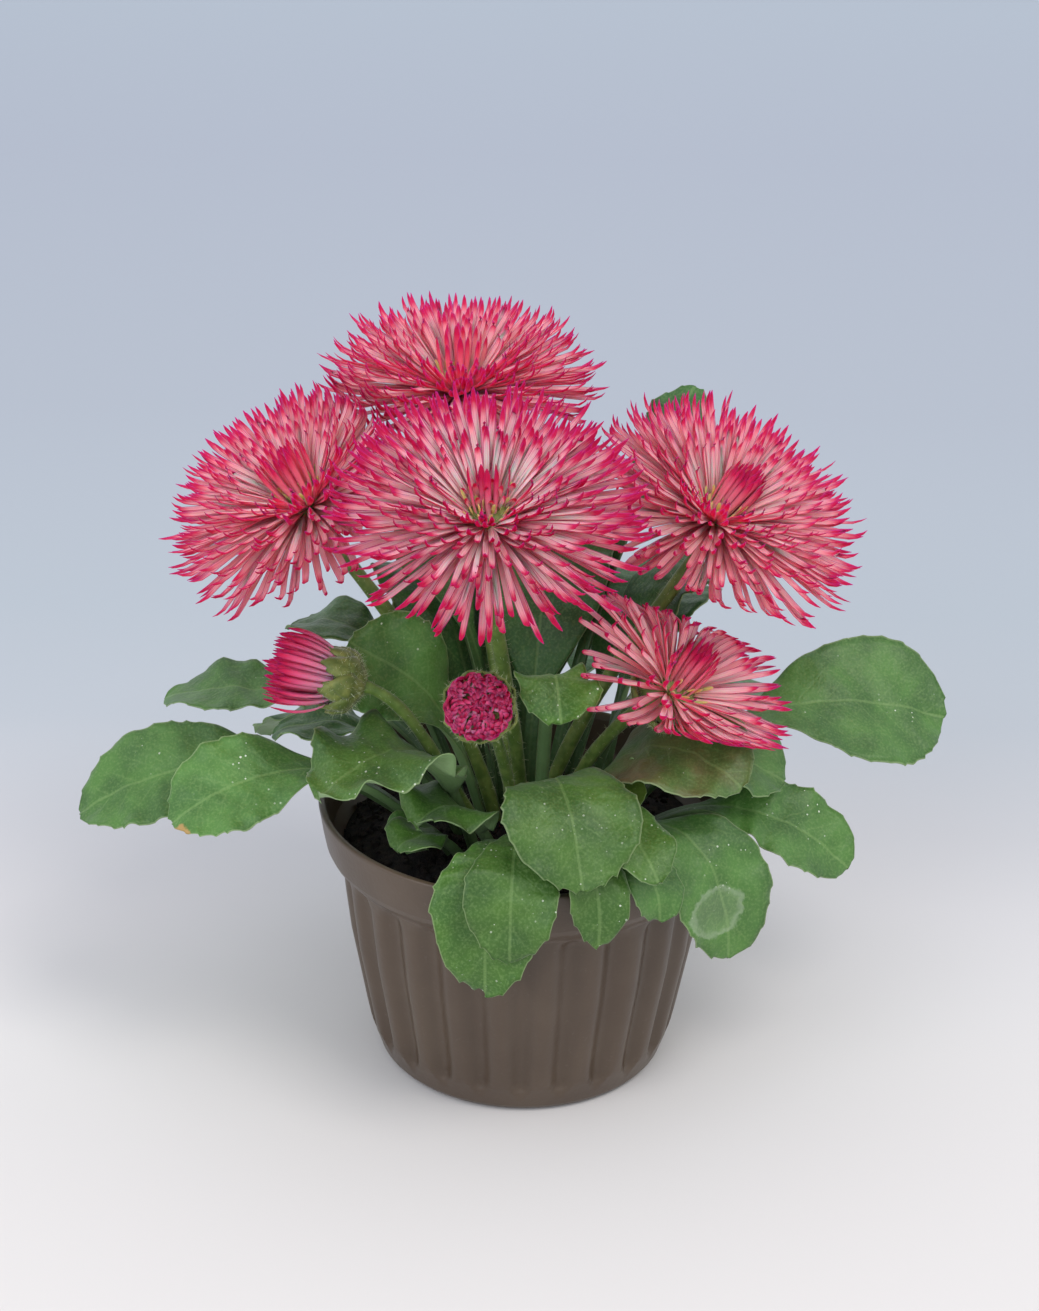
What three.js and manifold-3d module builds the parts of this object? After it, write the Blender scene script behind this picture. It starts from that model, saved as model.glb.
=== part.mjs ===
// A double english daisy in its ribbed pot: quilled pink flower heads over a rosette of spoon-shaped leaves.
// Millimetres, +Z up. The origin is the centre of the pot's flat underside, and -Y is the front.
import * as THREE from "three";
import Module from "manifold-3d";

const kernel = await Module();
kernel.setup();

// Clearances
const GAP = 0.3;
const HOLE_GAP = 0.35;

// Pot
const RIB_COUNT = 24;
const RIB_DEPTH = 1.1;
const CORNERS_PER_RIB = 3;
const FINE_SIDES = RIB_COUNT * CORNERS_PER_RIB;
const PLAIN_SIDES = FINE_SIDES / 2;
// Rows of radius, height and whether the row carries the ribs, from the foot up over the lip and down inside.
const POT_PROFILE = [
  { radius: 30.2, height: 0, sides: PLAIN_SIDES, ribbed: false },
  { radius: 31.6, height: 1.0, sides: PLAIN_SIDES, ribbed: false },
  { radius: 32.3, height: 2.6, sides: FINE_SIDES, ribbed: false },
  { radius: 34.0, height: 7.0, sides: FINE_SIDES, ribbed: true },
  { radius: 38.2, height: 30.0, sides: FINE_SIDES, ribbed: true },
  { radius: 39.9, height: 46.0, sides: FINE_SIDES, ribbed: true },
  { radius: 40.3, height: 47.8, sides: FINE_SIDES, ribbed: false },
  { radius: 40.9, height: 48.4, sides: PLAIN_SIDES, ribbed: false },
  { radius: 43.4, height: 51.6, sides: PLAIN_SIDES, ribbed: false },
  { radius: 44.5, height: 57.5, sides: PLAIN_SIDES, ribbed: false },
  { radius: 45.0, height: 60.9, sides: PLAIN_SIDES, ribbed: false },
  { radius: 44.7, height: 61.3, sides: PLAIN_SIDES, ribbed: false },
  { radius: 43.6, height: 61.3, sides: PLAIN_SIDES, ribbed: false },
  { radius: 41.9, height: 52.4, sides: PLAIN_SIDES, ribbed: false },
  { radius: 37.9, height: 47.6, sides: PLAIN_SIDES, ribbed: false },
  { radius: 31.2, height: 4.5, sides: PLAIN_SIDES, ribbed: false },
  { radius: 29.6, height: 2.0, sides: PLAIN_SIDES, ribbed: false },
];
const DRAIN_COUNT = 5;
const DRAIN_RADIUS = 2.5;
const DRAIN_CIRCLE = 17;
const DRAIN_SIDES = 12;
const CHANNEL_DEPTH = 0.7;
const CHANNEL_WIDTH = 2.4;
const CHANNEL_START = 18;
const CHANNEL_END = 34;

// Soil
const SOIL_TOP = 52;
const SOIL_SIDES = 24;
const SOIL_BUMP = 0.8;
const SOIL_SHOULDER = 1.6;
const SOIL_SINK = 3.6;
const HOLE_SINK = 1.2;
const HOLE_RISE = 2;
const HOLE_STEP = 0.01;
// Rows of radius and height, from the bottom of the soil up to its middle.
const SOIL_PROFILE = [
  { radius: 28.4, height: 2.6, bumpy: false },
  { radius: 30.5, height: 5.4, bumpy: false },
  { radius: 36.7, height: 47.0, bumpy: false },
  { radius: 39.6, height: SOIL_TOP - SOIL_SHOULDER, bumpy: false },
  { radius: 31.0, height: SOIL_TOP, bumpy: true },
  { radius: 21.5, height: SOIL_TOP, bumpy: false },
];

// Leaves
const LEAF_THICKNESS = 0.8;
const PETIOLE_HALF_WIDTH = 1.45;
const PETIOLE_THICKNESS = 2.0;
const PETIOLE_STATIONS = 3;
const BLADE_END = 0.985;
const BLADE_SKEW = 1.9;
const BLADE_BLUNTNESS = 0.5;
const TOOTH_DEPTH = 0.03;
const TOOTH_START = 0.3;
const HANDLE_NEAR = 0.3;
const RIGHT_EDGE_LAG = 2.2;
const BLADE_SETTLES = 0.35;
const ROLL_SETTLES = 0.5;

// Flower heads
const FLORET_WIDTH = 1.7;
const FLORET_ROOT_SHARE = 0.4;
const FLORET_SHOULDER = 0.68;
const FLORET_MARGIN = 1.0;
// Shares of its width that a floret's section stands above and below its own line.
const FLORET_CREST = 0.45;
const FLORET_KEEL = 0.3;
// How the florets change from the rim of a head to its middle.
const STEEPENING = 0.9;
const SHORTENING = 1.3;
const LENGTH_SCATTER = 0.06;
// Where the florets stand on the core, as angles down from its top, and how deep they are sunk.
const RIM_POLAR = 100;
const TOP_POLAR = 5;
const FLORET_SINK = 1.0;
const GOLDEN_ANGLE = Math.PI * (3 - Math.sqrt(5));
const CORE_SIDES = 8;
const CORE_ROWS = 5;
const STALK_SIDES = 6;
const STALK_STATIONS = 6;
const STALK_NEAR = 0.4;
const STALK_FAR = 0.22;
const BRACT_COUNT = 8;
const BRACT_NOTCH = 1.6;
const CUP_WALL = 0.9;
// The cup's foot: how far it runs down the stalk, and where its shoulder is, as shares of the rim's width
// and of the cup's height.
const CUP_FOOT = 1.2;
const CUP_SHOULDER_WIDTH = 0.72;
const CUP_SHOULDER_HEIGHT = 0.45;
const CUP_FLOOR = 0.6;

// Finishes, matched to the look of each part
const POT_FINISH = { color: 0x5d534a, roughness: 0.45, metalness: 0 };
const SOIL_FINISH = { color: 0x1b191c, roughness: 0.95, metalness: 0 };
const FRONT_LEAF = { color: 0x4d9a45, roughness: 0.6, metalness: 0 };
const SIDE_LEAF = { color: 0x3f8442, roughness: 0.6, metalness: 0 };
const BACK_LEAF = { color: 0x2f6b3a, roughness: 0.65, metalness: 0 };
const STALK_FINISH = { color: 0x83a24b, roughness: 0.6, metalness: 0 };
const BLOOM_FINISH = { color: 0xd95f83, roughness: 0.55, metalness: 0 };
const BUD_FINISH = { color: 0xb8174b, roughness: 0.55, metalness: 0 };

// The habit that a leaf has where its own row says nothing else.
// rise and crest: how far the curve's two inner handles stand above the soil and above the tip.
// stem: share of the length that is bare petiole. half: half width. stations: sections along the blade.
// roll: turn of the blade about its length. cup: how far the edges lift, as a share of the half width.
// wave and waves: height and number of the edge waves.
// far: where the outer handle stands, as a share of the way to the tip.
const LEAF_HABIT = {
  rise: 30,
  crest: 12,
  stem: 0.4,
  half: 12,
  stations: 10,
  roll: 0,
  cup: 0.1,
  wave: 0.8,
  waves: 1.5,
  far: 0.68,
  finish: SIDE_LEAF,
};

// Each leaf's own row. root: distance and bearing of its foot on the crown. tip: reach, bearing and height.
const LEAVES = [
  {
    name: "leaf_left_long", root: [17.5, -178], tip: [97, -177, 57],
    rise: 24, crest: 18, half: 12, roll: -30,
  },
  {
    name: "leaf_left_front", root: [17.5, -160], tip: [78, -161, 66],
    rise: 28, crest: 14, half: 11, roll: -32,
  },
  {
    name: "leaf_left_small", root: [17.5, -143], tip: [33, -146, 57],
    rise: 12, crest: 5, half: 5.5, roll: -20,
  },
  {
    name: "leaf_front_lobe", root: [17.5, -127], tip: [39, -133, 62],
    rise: 11, crest: 5, half: 7, wave: 1.4, finish: FRONT_LEAF,
  },
  {
    name: "leaf_front_fold", root: [17.5, -111], tip: [49, -99, 40],
    rise: 22, crest: 38, far: 1.1, half: 11, finish: FRONT_LEAF,
  },
  {
    name: "leaf_front_round", root: [17.5, -94], tip: [52, -93, 50],
    rise: 28, crest: 26, far: 1.02, half: 9.5, finish: FRONT_LEAF,
  },
  {
    name: "leaf_front_bright", root: [17.5, -77], tip: [50, -72, 51],
    rise: 22, crest: 27, far: 1.04, half: 6.5, finish: FRONT_LEAF,
  },
  {
    name: "leaf_right_lobe", root: [17.5, -60], tip: [50, -56, 54],
    rise: 18, crest: 15, far: 1.02, half: 6.5,
  },
  {
    name: "leaf_right_front", root: [17.5, -43], tip: [54, -37, 40],
    rise: 22, crest: 34, far: 0.98, half: 12, roll: 22,
  },
  {
    name: "leaf_right_low", root: [17.5, -25], tip: [71, -9, 50],
    rise: 18, crest: 18, half: 10, roll: 30,
  },
  {
    name: "leaf_right_oval", root: [17.5, 10], tip: [95, 11.5, 72],
    rise: 33, crest: 10, half: 15, roll: 38,
  },
  {
    name: "leaf_back_right", root: [17.5, 30], tip: [76, 34, 60],
    rise: 30, crest: 18, stations: 8, finish: BACK_LEAF,
  },
  {
    name: "leaf_back_middle", root: [17.5, 72], tip: [78, 74, 58],
    rise: 30, crest: 18, stations: 8, finish: BACK_LEAF,
  },
  {
    name: "leaf_back_left", root: [17.5, 112], tip: [80, 114, 62],
    rise: 30, crest: 16, stations: 8, finish: BACK_LEAF,
  },
  {
    name: "leaf_back_low", root: [17.5, 140], tip: [76, 143, 52],
    rise: 26, crest: 20, half: 11, stations: 8, finish: BACK_LEAF,
  },
  {
    name: "leaf_left_upper", root: [17.5, 163], tip: [84, 165, 72],
    rise: 30, crest: 10, half: 8.5, roll: -12,
  },
  {
    name: "leaf_left_dark", root: [12, -170], tip: [55, 179, 74],
    rise: 28, crest: 8, half: 9, stations: 8, finish: BACK_LEAF,
  },
  {
    name: "leaf_wavy_left", root: [12, -144], tip: [57, -137, 80],
    rise: 43, crest: 5, half: 11, wave: 1.6, waves: 2.5, stem: 0.25, finish: FRONT_LEAF,
  },
  {
    name: "leaf_wavy_front", root: [12, -112], tip: [36, -129, 68],
    rise: 17, crest: 6, half: 9, wave: 1.4, waves: 2.5, stem: 0.3, finish: FRONT_LEAF,
  },
  {
    name: "leaf_centre_big", root: [12, -87], tip: [52, -77, 66],
    rise: 36, crest: 24, half: 14, finish: FRONT_LEAF,
  },
  {
    name: "leaf_centre_fold", root: [12, -60], tip: [54, -60, 66],
    rise: 26, crest: 12, half: 7, finish: FRONT_LEAF,
  },
  {
    name: "leaf_right_wavy", root: [12, -32], tip: [38, -25, 73],
    rise: 28, crest: 8, half: 8, wave: 1.6, waves: 2.5, finish: FRONT_LEAF,
  },
  {
    name: "leaf_right_round", root: [12, -5], tip: [56, -6, 68],
    rise: 26, crest: 10, roll: 10,
  },
  {
    name: "leaf_back_inner", root: [12, 52], tip: [60, 50, 92],
    rise: 43, crest: 8, half: 13, stem: 0.3, stations: 8, finish: BACK_LEAF,
  },
  {
    name: "leaf_back_high", root: [12, 92], tip: [58, 92, 98],
    rise: 50, crest: 10, half: 17, stem: 0.15, stations: 8, finish: BACK_LEAF,
  },
  {
    name: "leaf_left_high", root: [12, 160], tip: [56, 159, 91],
    rise: 44, crest: 8, half: 9, stations: 8, finish: BACK_LEAF,
  },
  {
    name: "leaf_upright_left", root: [7, 178], tip: [38, 180, 97],
    rise: 40, crest: -8, stem: 0.2, half: 12, roll: -60,
  },
  {
    name: "leaf_upright_back", root: [7.5, 118], tip: [42, 130, 112],
    rise: 52, crest: -8, half: 10, stations: 8, finish: BACK_LEAF,
  },
  {
    name: "leaf_right_red", root: [7, -22], tip: [53, -33, 78.5],
    rise: 34.8, crest: 8.2, stem: 0.2, half: 11.7, roll: 10, finish: FRONT_LEAF,
  },
  {
    name: "leaf_small_bent", root: [7, -66], tip: [31, -77, 93],
    rise: 56, crest: 12, half: 8, finish: FRONT_LEAF,
  },
  {
    name: "leaf_pale_edge", root: [8.5, -44], tip: [34, -45, 72],
    rise: 17, crest: 3, half: 4.4, roll: 20, finish: FRONT_LEAF,
  },
  {
    name: "leaf_inner_left", root: [12, 132], tip: [47, 129, 99],
    rise: 53, crest: 6, half: 12, stem: 0.15, stations: 8, finish: BACK_LEAF,
  },
  {
    name: "leaf_inner_right", root: [21.5, 43], tip: [47, 30, 103],
    rise: 58, crest: 5, half: 11.5, stem: 0.2, stations: 8, finish: BACK_LEAF,
  },
  {
    name: "leaf_inner_back", root: [7.5, 88], tip: [40, 80.5, 112],
    rise: 56, crest: -5, half: 13.5, stem: 0.2, stations: 8, finish: BACK_LEAF,
  },
  {
    name: "leaf_tall_back", root: [7.5, 60], tip: [62, 54, 138],
    rise: 60, crest: -20, stem: 0.6, half: 8, stations: 8, finish: BACK_LEAF,
  },
  {
    name: "leaf_dark_right", root: [12, 24], tip: [38, 4, 93],
    rise: 42, crest: -6, half: 6.5, stations: 8, finish: BACK_LEAF,
  },
];

// The habit of a flower head where its own row says nothing else. Lengths of the outer and inner florets, and
// their lowest and steepest angles above the plane of the head; the core, the cup of bracts and the stalk.
// lean: how far out the foot of the stalk leans, as a share of the way to the head.
const BLOOM_HABIT = {
  florets: 72,
  outer: 27,
  inner: 11,
  low: -16,
  high: 74,
  core: 7.2,
  coreHeight: 3.6,
  cup: 7.6,
  cupHeight: 4.2,
  cupRise: 0,
  stalk: 1.55,
  lean: 0.12,
  shouldered: 0.4,
  finish: BLOOM_FINISH,
};
const BUD_HABIT = {
  ...BLOOM_HABIT,
  florets: 36,
  core: 5.0,
  coreHeight: 3.4,
  cup: 6.9,
  cupHeight: 4.6,
  shouldered: 0.3,
  finish: BUD_FINISH,
};

// Each flower head. root: distance and bearing of its foot on the crown. at: middle of the head's base.
// axis: tilt from upright, and the bearing that it tilts to.
const HEADS = [
  {
    ...BLOOM_HABIT,
    name: "bloom_back",
    root: [2.8, 150],
    at: [-15.5, 31, 139],
    axis: [10, -100],
  },
  {
    ...BLOOM_HABIT,
    name: "bloom_left",
    root: [7, 146],
    at: [-45.5, 9, 122],
    axis: [32, -140],
  },
  {
    ...BLOOM_HABIT,
    name: "bloom_front",
    root: [2.8, -90],
    at: [-8.5, -26, 133],
    axis: [24, -92],
    outer: 28,
  },
  {
    ...BLOOM_HABIT,
    name: "bloom_right",
    root: [2.8, 30],
    at: [38, 7, 121],
    axis: [28, -50],
  },
  {
    ...BLOOM_HABIT,
    name: "bloom_low",
    root: [7, 15],
    at: [28, -12, 91],
    axis: [50, -35],
    florets: 60,
    outer: 24,
    low: 16,
    stalk: 1.45,
  },
  {
    ...BUD_HABIT,
    name: "bud_left",
    root: [7, -150],
    at: [-37.5, -15, 94.5],
    axis: [78, 176],
    outer: 13.5,
    inner: 12.5,
    low: 78,
    high: 88,
    cupHeight: 2.8,
    cupRise: 5,
    stalk: 1.3,
    lean: 0.45,
  },
  {
    ...BUD_HABIT,
    name: "bud_centre",
    root: [7, -98],
    at: [-9.5, -31, 97],
    axis: [62, -95],
    outer: 5,
    inner: 4.5,
    low: 40,
    high: 86,
    cupRise: 2.5,
    stalk: 1.3,
  },
];

const DEGREE = Math.PI / 180;
const UP = new THREE.Vector3(0, 0, 1);
// The direction that a head's first floret is turned from: no head's axis runs along it.
const HEAD_START = new THREE.Vector3(0.05, 1, 0);

function onBearing(distance, bearing, height) {
  const angle = bearing * DEGREE;
  return new THREE.Vector3(distance * Math.cos(angle), distance * Math.sin(angle), height);
}

const mix = THREE.MathUtils.lerp;

// A repeatable scatter between 0 and 1: the fraction left of a large, quickly turning sine.
const INDEX_TURN = 12.9898;
const SALT_TURN = 78.233;
const SINE_SIZE = 43758.5453;
function scatter(index, salt) {
  const wave = Math.sin(index * INDEX_TURN + salt * SALT_TURN) * SINE_SIZE;
  return wave - Math.floor(wave);
}

// A closed solid from its corners and its outward-facing triangles.
function solidFrom(corners, faces) {
  const mesh = new kernel.Mesh({
    numProp: 3,
    vertProperties: new Float32Array(corners.flatMap((corner) => corner.toArray())),
    triVerts: new Uint32Array(faces.flat()),
  });
  return new kernel.Manifold(mesh);
}

function meshFrom(name, solid, finish) {
  const { vertProperties, triVerts } = solid.getMesh();
  const geometry = new THREE.BufferGeometry();
  geometry.setAttribute("position", new THREE.BufferAttribute(vertProperties, 3));
  geometry.setIndex(new THREE.BufferAttribute(triVerts, 1));
  geometry.computeVertexNormals();
  const mesh = new THREE.Mesh(geometry, new THREE.MeshStandardMaterial(finish));
  mesh.name = name;
  return mesh;
}

// Rings of corners stacked into one closed solid. Each ring turns anticlockwise as seen from the end that is
// stacked last, and a fan closes the solid at either end.
function stackRings(rings, firstCentre, lastCentre) {
  const corners = [firstCentre];
  const faces = [];
  const starts = [];
  for (const ring of rings) {
    starts.push(corners.length);
    corners.push(...ring);
  }
  const last = corners.length;
  corners.push(lastCentre);
  for (let i = 0; i < rings[0].length; i += 1) {
    faces.push([0, starts[0] + ((i + 1) % rings[0].length), starts[0] + i]);
  }
  for (let row = 0; row + 1 < rings.length; row += 1) {
    faces.push(...joinRings(starts[row], rings[row].length, starts[row + 1], rings[row + 1].length));
  }
  const top = starts[starts.length - 1];
  const count = rings[rings.length - 1].length;
  for (let i = 0; i < count; i += 1) {
    faces.push([last, top + i, top + ((i + 1) % count)]);
  }
  return solidFrom(corners, faces);
}

// The band between two rings, where one may have twice the corners of the other.
function joinRings(low, lowCount, high, highCount) {
  const faces = [];
  const steps = Math.min(lowCount, highCount);
  const lowStep = lowCount / steps;
  const highStep = highCount / steps;
  for (let i = 0; i < steps; i += 1) {
    const lowHere = low + i * lowStep;
    const lowNext = low + (((i + 1) * lowStep) % lowCount);
    const highHere = high + i * highStep;
    const highNext = high + (((i + 1) * highStep) % highCount);
    if (lowStep === 2) {
      faces.push([lowHere, lowHere + 1, highHere]);
      faces.push([lowHere + 1, highNext, highHere]);
      faces.push([lowHere + 1, lowNext, highNext]);
    } else if (highStep === 2) {
      faces.push([lowHere, highHere + 1, highHere]);
      faces.push([lowHere, lowNext, highHere + 1]);
      faces.push([lowNext, highNext, highHere + 1]);
    } else {
      faces.push([lowHere, lowNext, highNext]);
      faces.push([lowHere, highNext, highHere]);
    }
  }
  return faces;
}

function cylinderSolid(radius, bottom, top, sides, x, y) {
  const ring = (height) =>
    Array.from({ length: sides }, (_, i) => {
      const angle = (i / sides) * 2 * Math.PI;
      return new THREE.Vector3(x + radius * Math.cos(angle), y + radius * Math.sin(angle), height);
    });
  return stackRings([ring(bottom), ring(top)], new THREE.Vector3(x, y, bottom), new THREE.Vector3(x, y, top));
}

// The pot: one moulded shell with a ribbed side, a plain flared collar, and a drained floor.
function potSolid() {
  const rings = POT_PROFILE.map(({ radius, height, sides, ribbed }) =>
    Array.from({ length: sides }, (_, i) => {
      const angle = (i / sides) * 2 * Math.PI;
      const groove = ribbed && i % CORNERS_PER_RIB === 0 ? RIB_DEPTH : 0;
      const reach = radius - groove;
      return new THREE.Vector3(reach * Math.cos(angle), reach * Math.sin(angle), height);
    }),
  );
  const floor = POT_PROFILE[POT_PROFILE.length - 1].height;
  let pot = stackRings(rings, new THREE.Vector3(0, 0, 0), new THREE.Vector3(0, 0, floor));
  for (let i = 0; i < DRAIN_COUNT; i += 1) {
    const angle = ((i + 0.5) / DRAIN_COUNT) * 2 * Math.PI;
    const x = DRAIN_CIRCLE * Math.cos(angle);
    const y = DRAIN_CIRCLE * Math.sin(angle);
    pot = pot.subtract(cylinderSolid(DRAIN_RADIUS, -1, floor + 1, DRAIN_SIDES, x, y));
    pot = pot.subtract(channelSolid(angle));
  }
  return pot;
}

// A shallow channel under the foot that lets water run out from a drain hole.
function channelSolid(angle) {
  const along = new THREE.Vector3(Math.cos(angle), Math.sin(angle), 0);
  const across = new THREE.Vector3(-Math.sin(angle), Math.cos(angle), 0);
  const corner = (reach, side, height) =>
    along
      .clone()
      .multiplyScalar(reach)
      .addScaledVector(across, (side * CHANNEL_WIDTH) / 2)
      .setZ(height);
  const ring = (height) => [
    corner(CHANNEL_START, -1, height),
    corner(CHANNEL_END, -1, height),
    corner(CHANNEL_END, 1, height),
    corner(CHANNEL_START, 1, height),
  ];
  const middle = (CHANNEL_START + CHANNEL_END) / 2;
  return stackRings([ring(-1), ring(CHANNEL_DEPTH)], corner(middle, 0, -1), corner(middle, 0, CHANNEL_DEPTH));
}

// The soil: a plug that fills the pot, with an uneven top and a plain hole for each stem.
function soilSolid(stems) {
  const rings = SOIL_PROFILE.map(({ radius, height, bumpy }, row) =>
    Array.from({ length: SOIL_SIDES }, (_, i) => {
      const angle = (i / SOIL_SIDES) * 2 * Math.PI;
      const bump = bumpy ? (scatter(i, row) - 0.5) * SOIL_BUMP : 0;
      return new THREE.Vector3(radius * Math.cos(angle), radius * Math.sin(angle), height + bump);
    }),
  );
  const bottom = new THREE.Vector3(0, 0, SOIL_PROFILE[0].height);
  let soil = stackRings(rings, bottom, new THREE.Vector3(0, 0, SOIL_TOP));
  for (const stem of stems) {
    soil = soil.subtract(holeSolid(stem));
  }
  return soil;
}

// A four-sided hole that follows a stem from just under its foot to just above the soil.
function holeSolid({ curve, halfWidth, halfDepth, drop }) {
  const side = lateralOf(curve);
  let share = 0;
  while (curve.getPoint(share).z < SOIL_TOP + HOLE_RISE) {
    share += HOLE_STEP;
  }
  const rings = [0, share].map((at, row) => {
    const along = curve.getTangent(at);
    const normal = new THREE.Vector3().crossVectors(along, side).normalize();
    const centre = curve
      .getPoint(at)
      .addScaledVector(normal, -drop)
      .addScaledVector(along, row === 0 ? -HOLE_SINK : 0);
    const corner = (a, b) =>
      centre
        .clone()
        .addScaledVector(side, a * halfWidth)
        .addScaledVector(normal, b * halfDepth);
    return [corner(1, 1), corner(-1, 1), corner(-1, -1), corner(1, -1)];
  });
  const middle = (ring) => ring[0].clone().add(ring[2]).multiplyScalar(0.5);
  return stackRings(rings, middle(rings[0]), middle(rings[1]));
}

// The level direction square to a stem's overall lean, on its left.
function lateralOf(curve) {
  const lean = curve.getPoint(1).sub(curve.getPoint(0)).setZ(0).normalize();
  return new THREE.Vector3().crossVectors(UP, lean);
}

function leafCurve(leaf) {
  const foot = onBearing(...leaf.root, SOIL_TOP - SOIL_SINK);
  const end = onBearing(...leaf.tip);
  const near = foot.clone().lerp(end, HANDLE_NEAR).setZ(SOIL_TOP + leaf.rise);
  const far = foot.clone().lerp(end, leaf.far).setZ(end.z + leaf.crest);
  return new THREE.CubicBezierCurve3(foot, near, far, end);
}

// Half width of a leaf at a share of its blade, before its teeth.
function bladeHalfWidth(leaf, share) {
  const bulge = Math.sin(Math.PI * Math.pow(share, BLADE_SKEW));
  return Math.hypot(leaf.half * Math.pow(Math.max(bulge, 0), BLADE_BLUNTNESS), PETIOLE_HALF_WIDTH);
}

// A leaf: a petiole that widens into a spoon-shaped blade with a toothed, waved edge.
function leafSolid(leaf) {
  const curve = leafCurve(leaf);
  const level = lateralOf(curve);
  const corners = [];
  const faces = [];
  const stations = PETIOLE_STATIONS + leaf.stations;
  for (let i = 0; i <= stations; i += 1) {
    const bladeShare = Math.max(0, (i - PETIOLE_STATIONS) / leaf.stations);
    const onBlade = bladeShare * BLADE_END;
    const share = mix(leaf.stem * Math.min(1, i / PETIOLE_STATIONS), 1, bladeShare);
    const along = curve.getTangent(share);
    const normal = new THREE.Vector3().crossVectors(along, level).normalize();
    const turn = leaf.roll * DEGREE * THREE.MathUtils.smoothstep(onBlade, 0, ROLL_SETTLES);
    const side = level.clone().multiplyScalar(Math.cos(turn)).addScaledVector(normal, Math.sin(turn));
    const lift = new THREE.Vector3().crossVectors(along, side).normalize();
    const centre = curve.getPoint(share);
    const tooth = onBlade > TOOTH_START ? 1 + TOOTH_DEPTH * (i % 2 === 0 ? 1 : -1) : 1;
    const half = i < PETIOLE_STATIONS ? PETIOLE_HALF_WIDTH : bladeHalfWidth(leaf, onBlade) * tooth;
    const fade = THREE.MathUtils.smoothstep(onBlade, 0, BLADE_SETTLES);
    const thickness = mix(PETIOLE_THICKNESS, LEAF_THICKNESS, fade);
    const phase = 2 * Math.PI * leaf.waves * onBlade;
    const edge = (sign, lag) => {
      const height = fade * (leaf.cup * half + leaf.wave * Math.sin(phase + lag));
      return centre.clone().addScaledVector(side, sign * half).addScaledVector(lift, height);
    };
    const top = [edge(1, 0), centre, edge(-1, RIGHT_EDGE_LAG)];
    corners.push(...top);
    corners.push(...top.map((point) => point.clone().addScaledVector(lift, -thickness)));
  }
  // Corner numbers in one section: left, middle and right above, then the same below.
  const size = 6;
  for (let i = 0; i < stations; i += 1) {
    const [a, b, c, d, e, f] = Array.from({ length: size }, (_, k) => i * size + k);
    const [a2, b2, c2, d2, e2, f2] = [a, b, c, d, e, f].map((corner) => corner + size);
    faces.push([b, b2, a2], [b, a2, a], [c, c2, b], [c2, b2, b]);
    faces.push([e, d2, e2], [e, d, d2], [f, e, f2], [f2, e, e2]);
    faces.push([a, a2, d2], [a, d2, d], [c, f2, c2], [c, f, f2]);
  }
  const [a, b, c, d, e, f] = Array.from({ length: size }, (_, k) => stations * size + k);
  faces.push([0, 3, 4], [0, 4, 1], [1, 4, 5], [1, 5, 2]);
  faces.push([a, e, d], [a, b, e], [b, f, e], [b, c, f]);
  return solidFrom(corners, faces);
}

// A flower head's own frame: its base, its axis, and two directions square to the axis.
function headFrame({ at, axis }) {
  const [tilt, bearing] = axis;
  const up = onBearing(Math.sin(tilt * DEGREE), bearing, Math.cos(tilt * DEGREE));
  const across = new THREE.Vector3().crossVectors(up, HEAD_START).normalize();
  const along = new THREE.Vector3().crossVectors(up, across);
  const place = (radius, angle, height) =>
    new THREE.Vector3(...at)
      .addScaledVector(up, height)
      .addScaledVector(across, radius * Math.cos(angle))
      .addScaledVector(along, radius * Math.sin(angle));
  return { up, place };
}

// The planes half way to each neighbouring head, which no floret may cross.
function fencesOf(head) {
  const here = new THREE.Vector3(...head.at);
  return HEADS.filter((other) => other !== head).map((other) => {
    const there = new THREE.Vector3(...other.at);
    const normal = there.clone().sub(here).normalize();
    const share = head.outer / (head.outer + other.outer);
    return { normal, reach: normal.dot(here) + share * there.distanceTo(here) - FLORET_MARGIN };
  });
}

function clearOf(fences, point) {
  for (const { normal, reach } of fences) {
    const beyond = normal.dot(point) - reach;
    if (beyond > 0) {
      point.addScaledVector(normal, -beyond);
    }
  }
  return point;
}

// One quilled floret: a three-sided needle that is widest at its shoulder.
function floretSolid(foot, shoulder, end, up, shouldered) {
  const along = end.clone().sub(foot).normalize();
  const side = new THREE.Vector3().crossVectors(along, up).normalize();
  const top = new THREE.Vector3().crossVectors(side, along);
  const ring = (centre, width) => [
    centre.clone().addScaledVector(side, width / 2).addScaledVector(top, -width * FLORET_KEEL),
    centre.clone().addScaledVector(top, width * FLORET_CREST),
    centre.clone().addScaledVector(side, -width / 2).addScaledVector(top, -width * FLORET_KEEL),
  ];
  const corners = ring(foot, FLORET_WIDTH * FLORET_ROOT_SHARE);
  const faces = [[0, 1, 2]];
  let last = 0;
  if (shouldered) {
    corners.push(...ring(shoulder, FLORET_WIDTH));
    last = 3;
  }
  const apex = corners.length;
  corners.push(end);
  for (let i = 0; i < 3; i += 1) {
    const next = (i + 1) % 3;
    if (shouldered) {
      faces.push([i, next + 3, next], [i, i + 3, next + 3]);
    }
    faces.push([last + i, apex, last + next]);
  }
  return solidFrom(corners, faces);
}

// The domed core that the florets stand in.
function coreSolid({ place }, { core, coreHeight }) {
  const rings = [];
  for (let row = 1; row < CORE_ROWS; row += 1) {
    const polar = (Math.PI * row) / CORE_ROWS;
    rings.push(
      Array.from({ length: CORE_SIDES }, (_, i) =>
        place(core * Math.sin(polar), (i / CORE_SIDES) * 2 * Math.PI, coreHeight * (1 - Math.cos(polar))),
      ),
    );
  }
  return stackRings(rings, place(0, 0, 0), place(0, 0, 2 * coreHeight));
}

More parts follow.
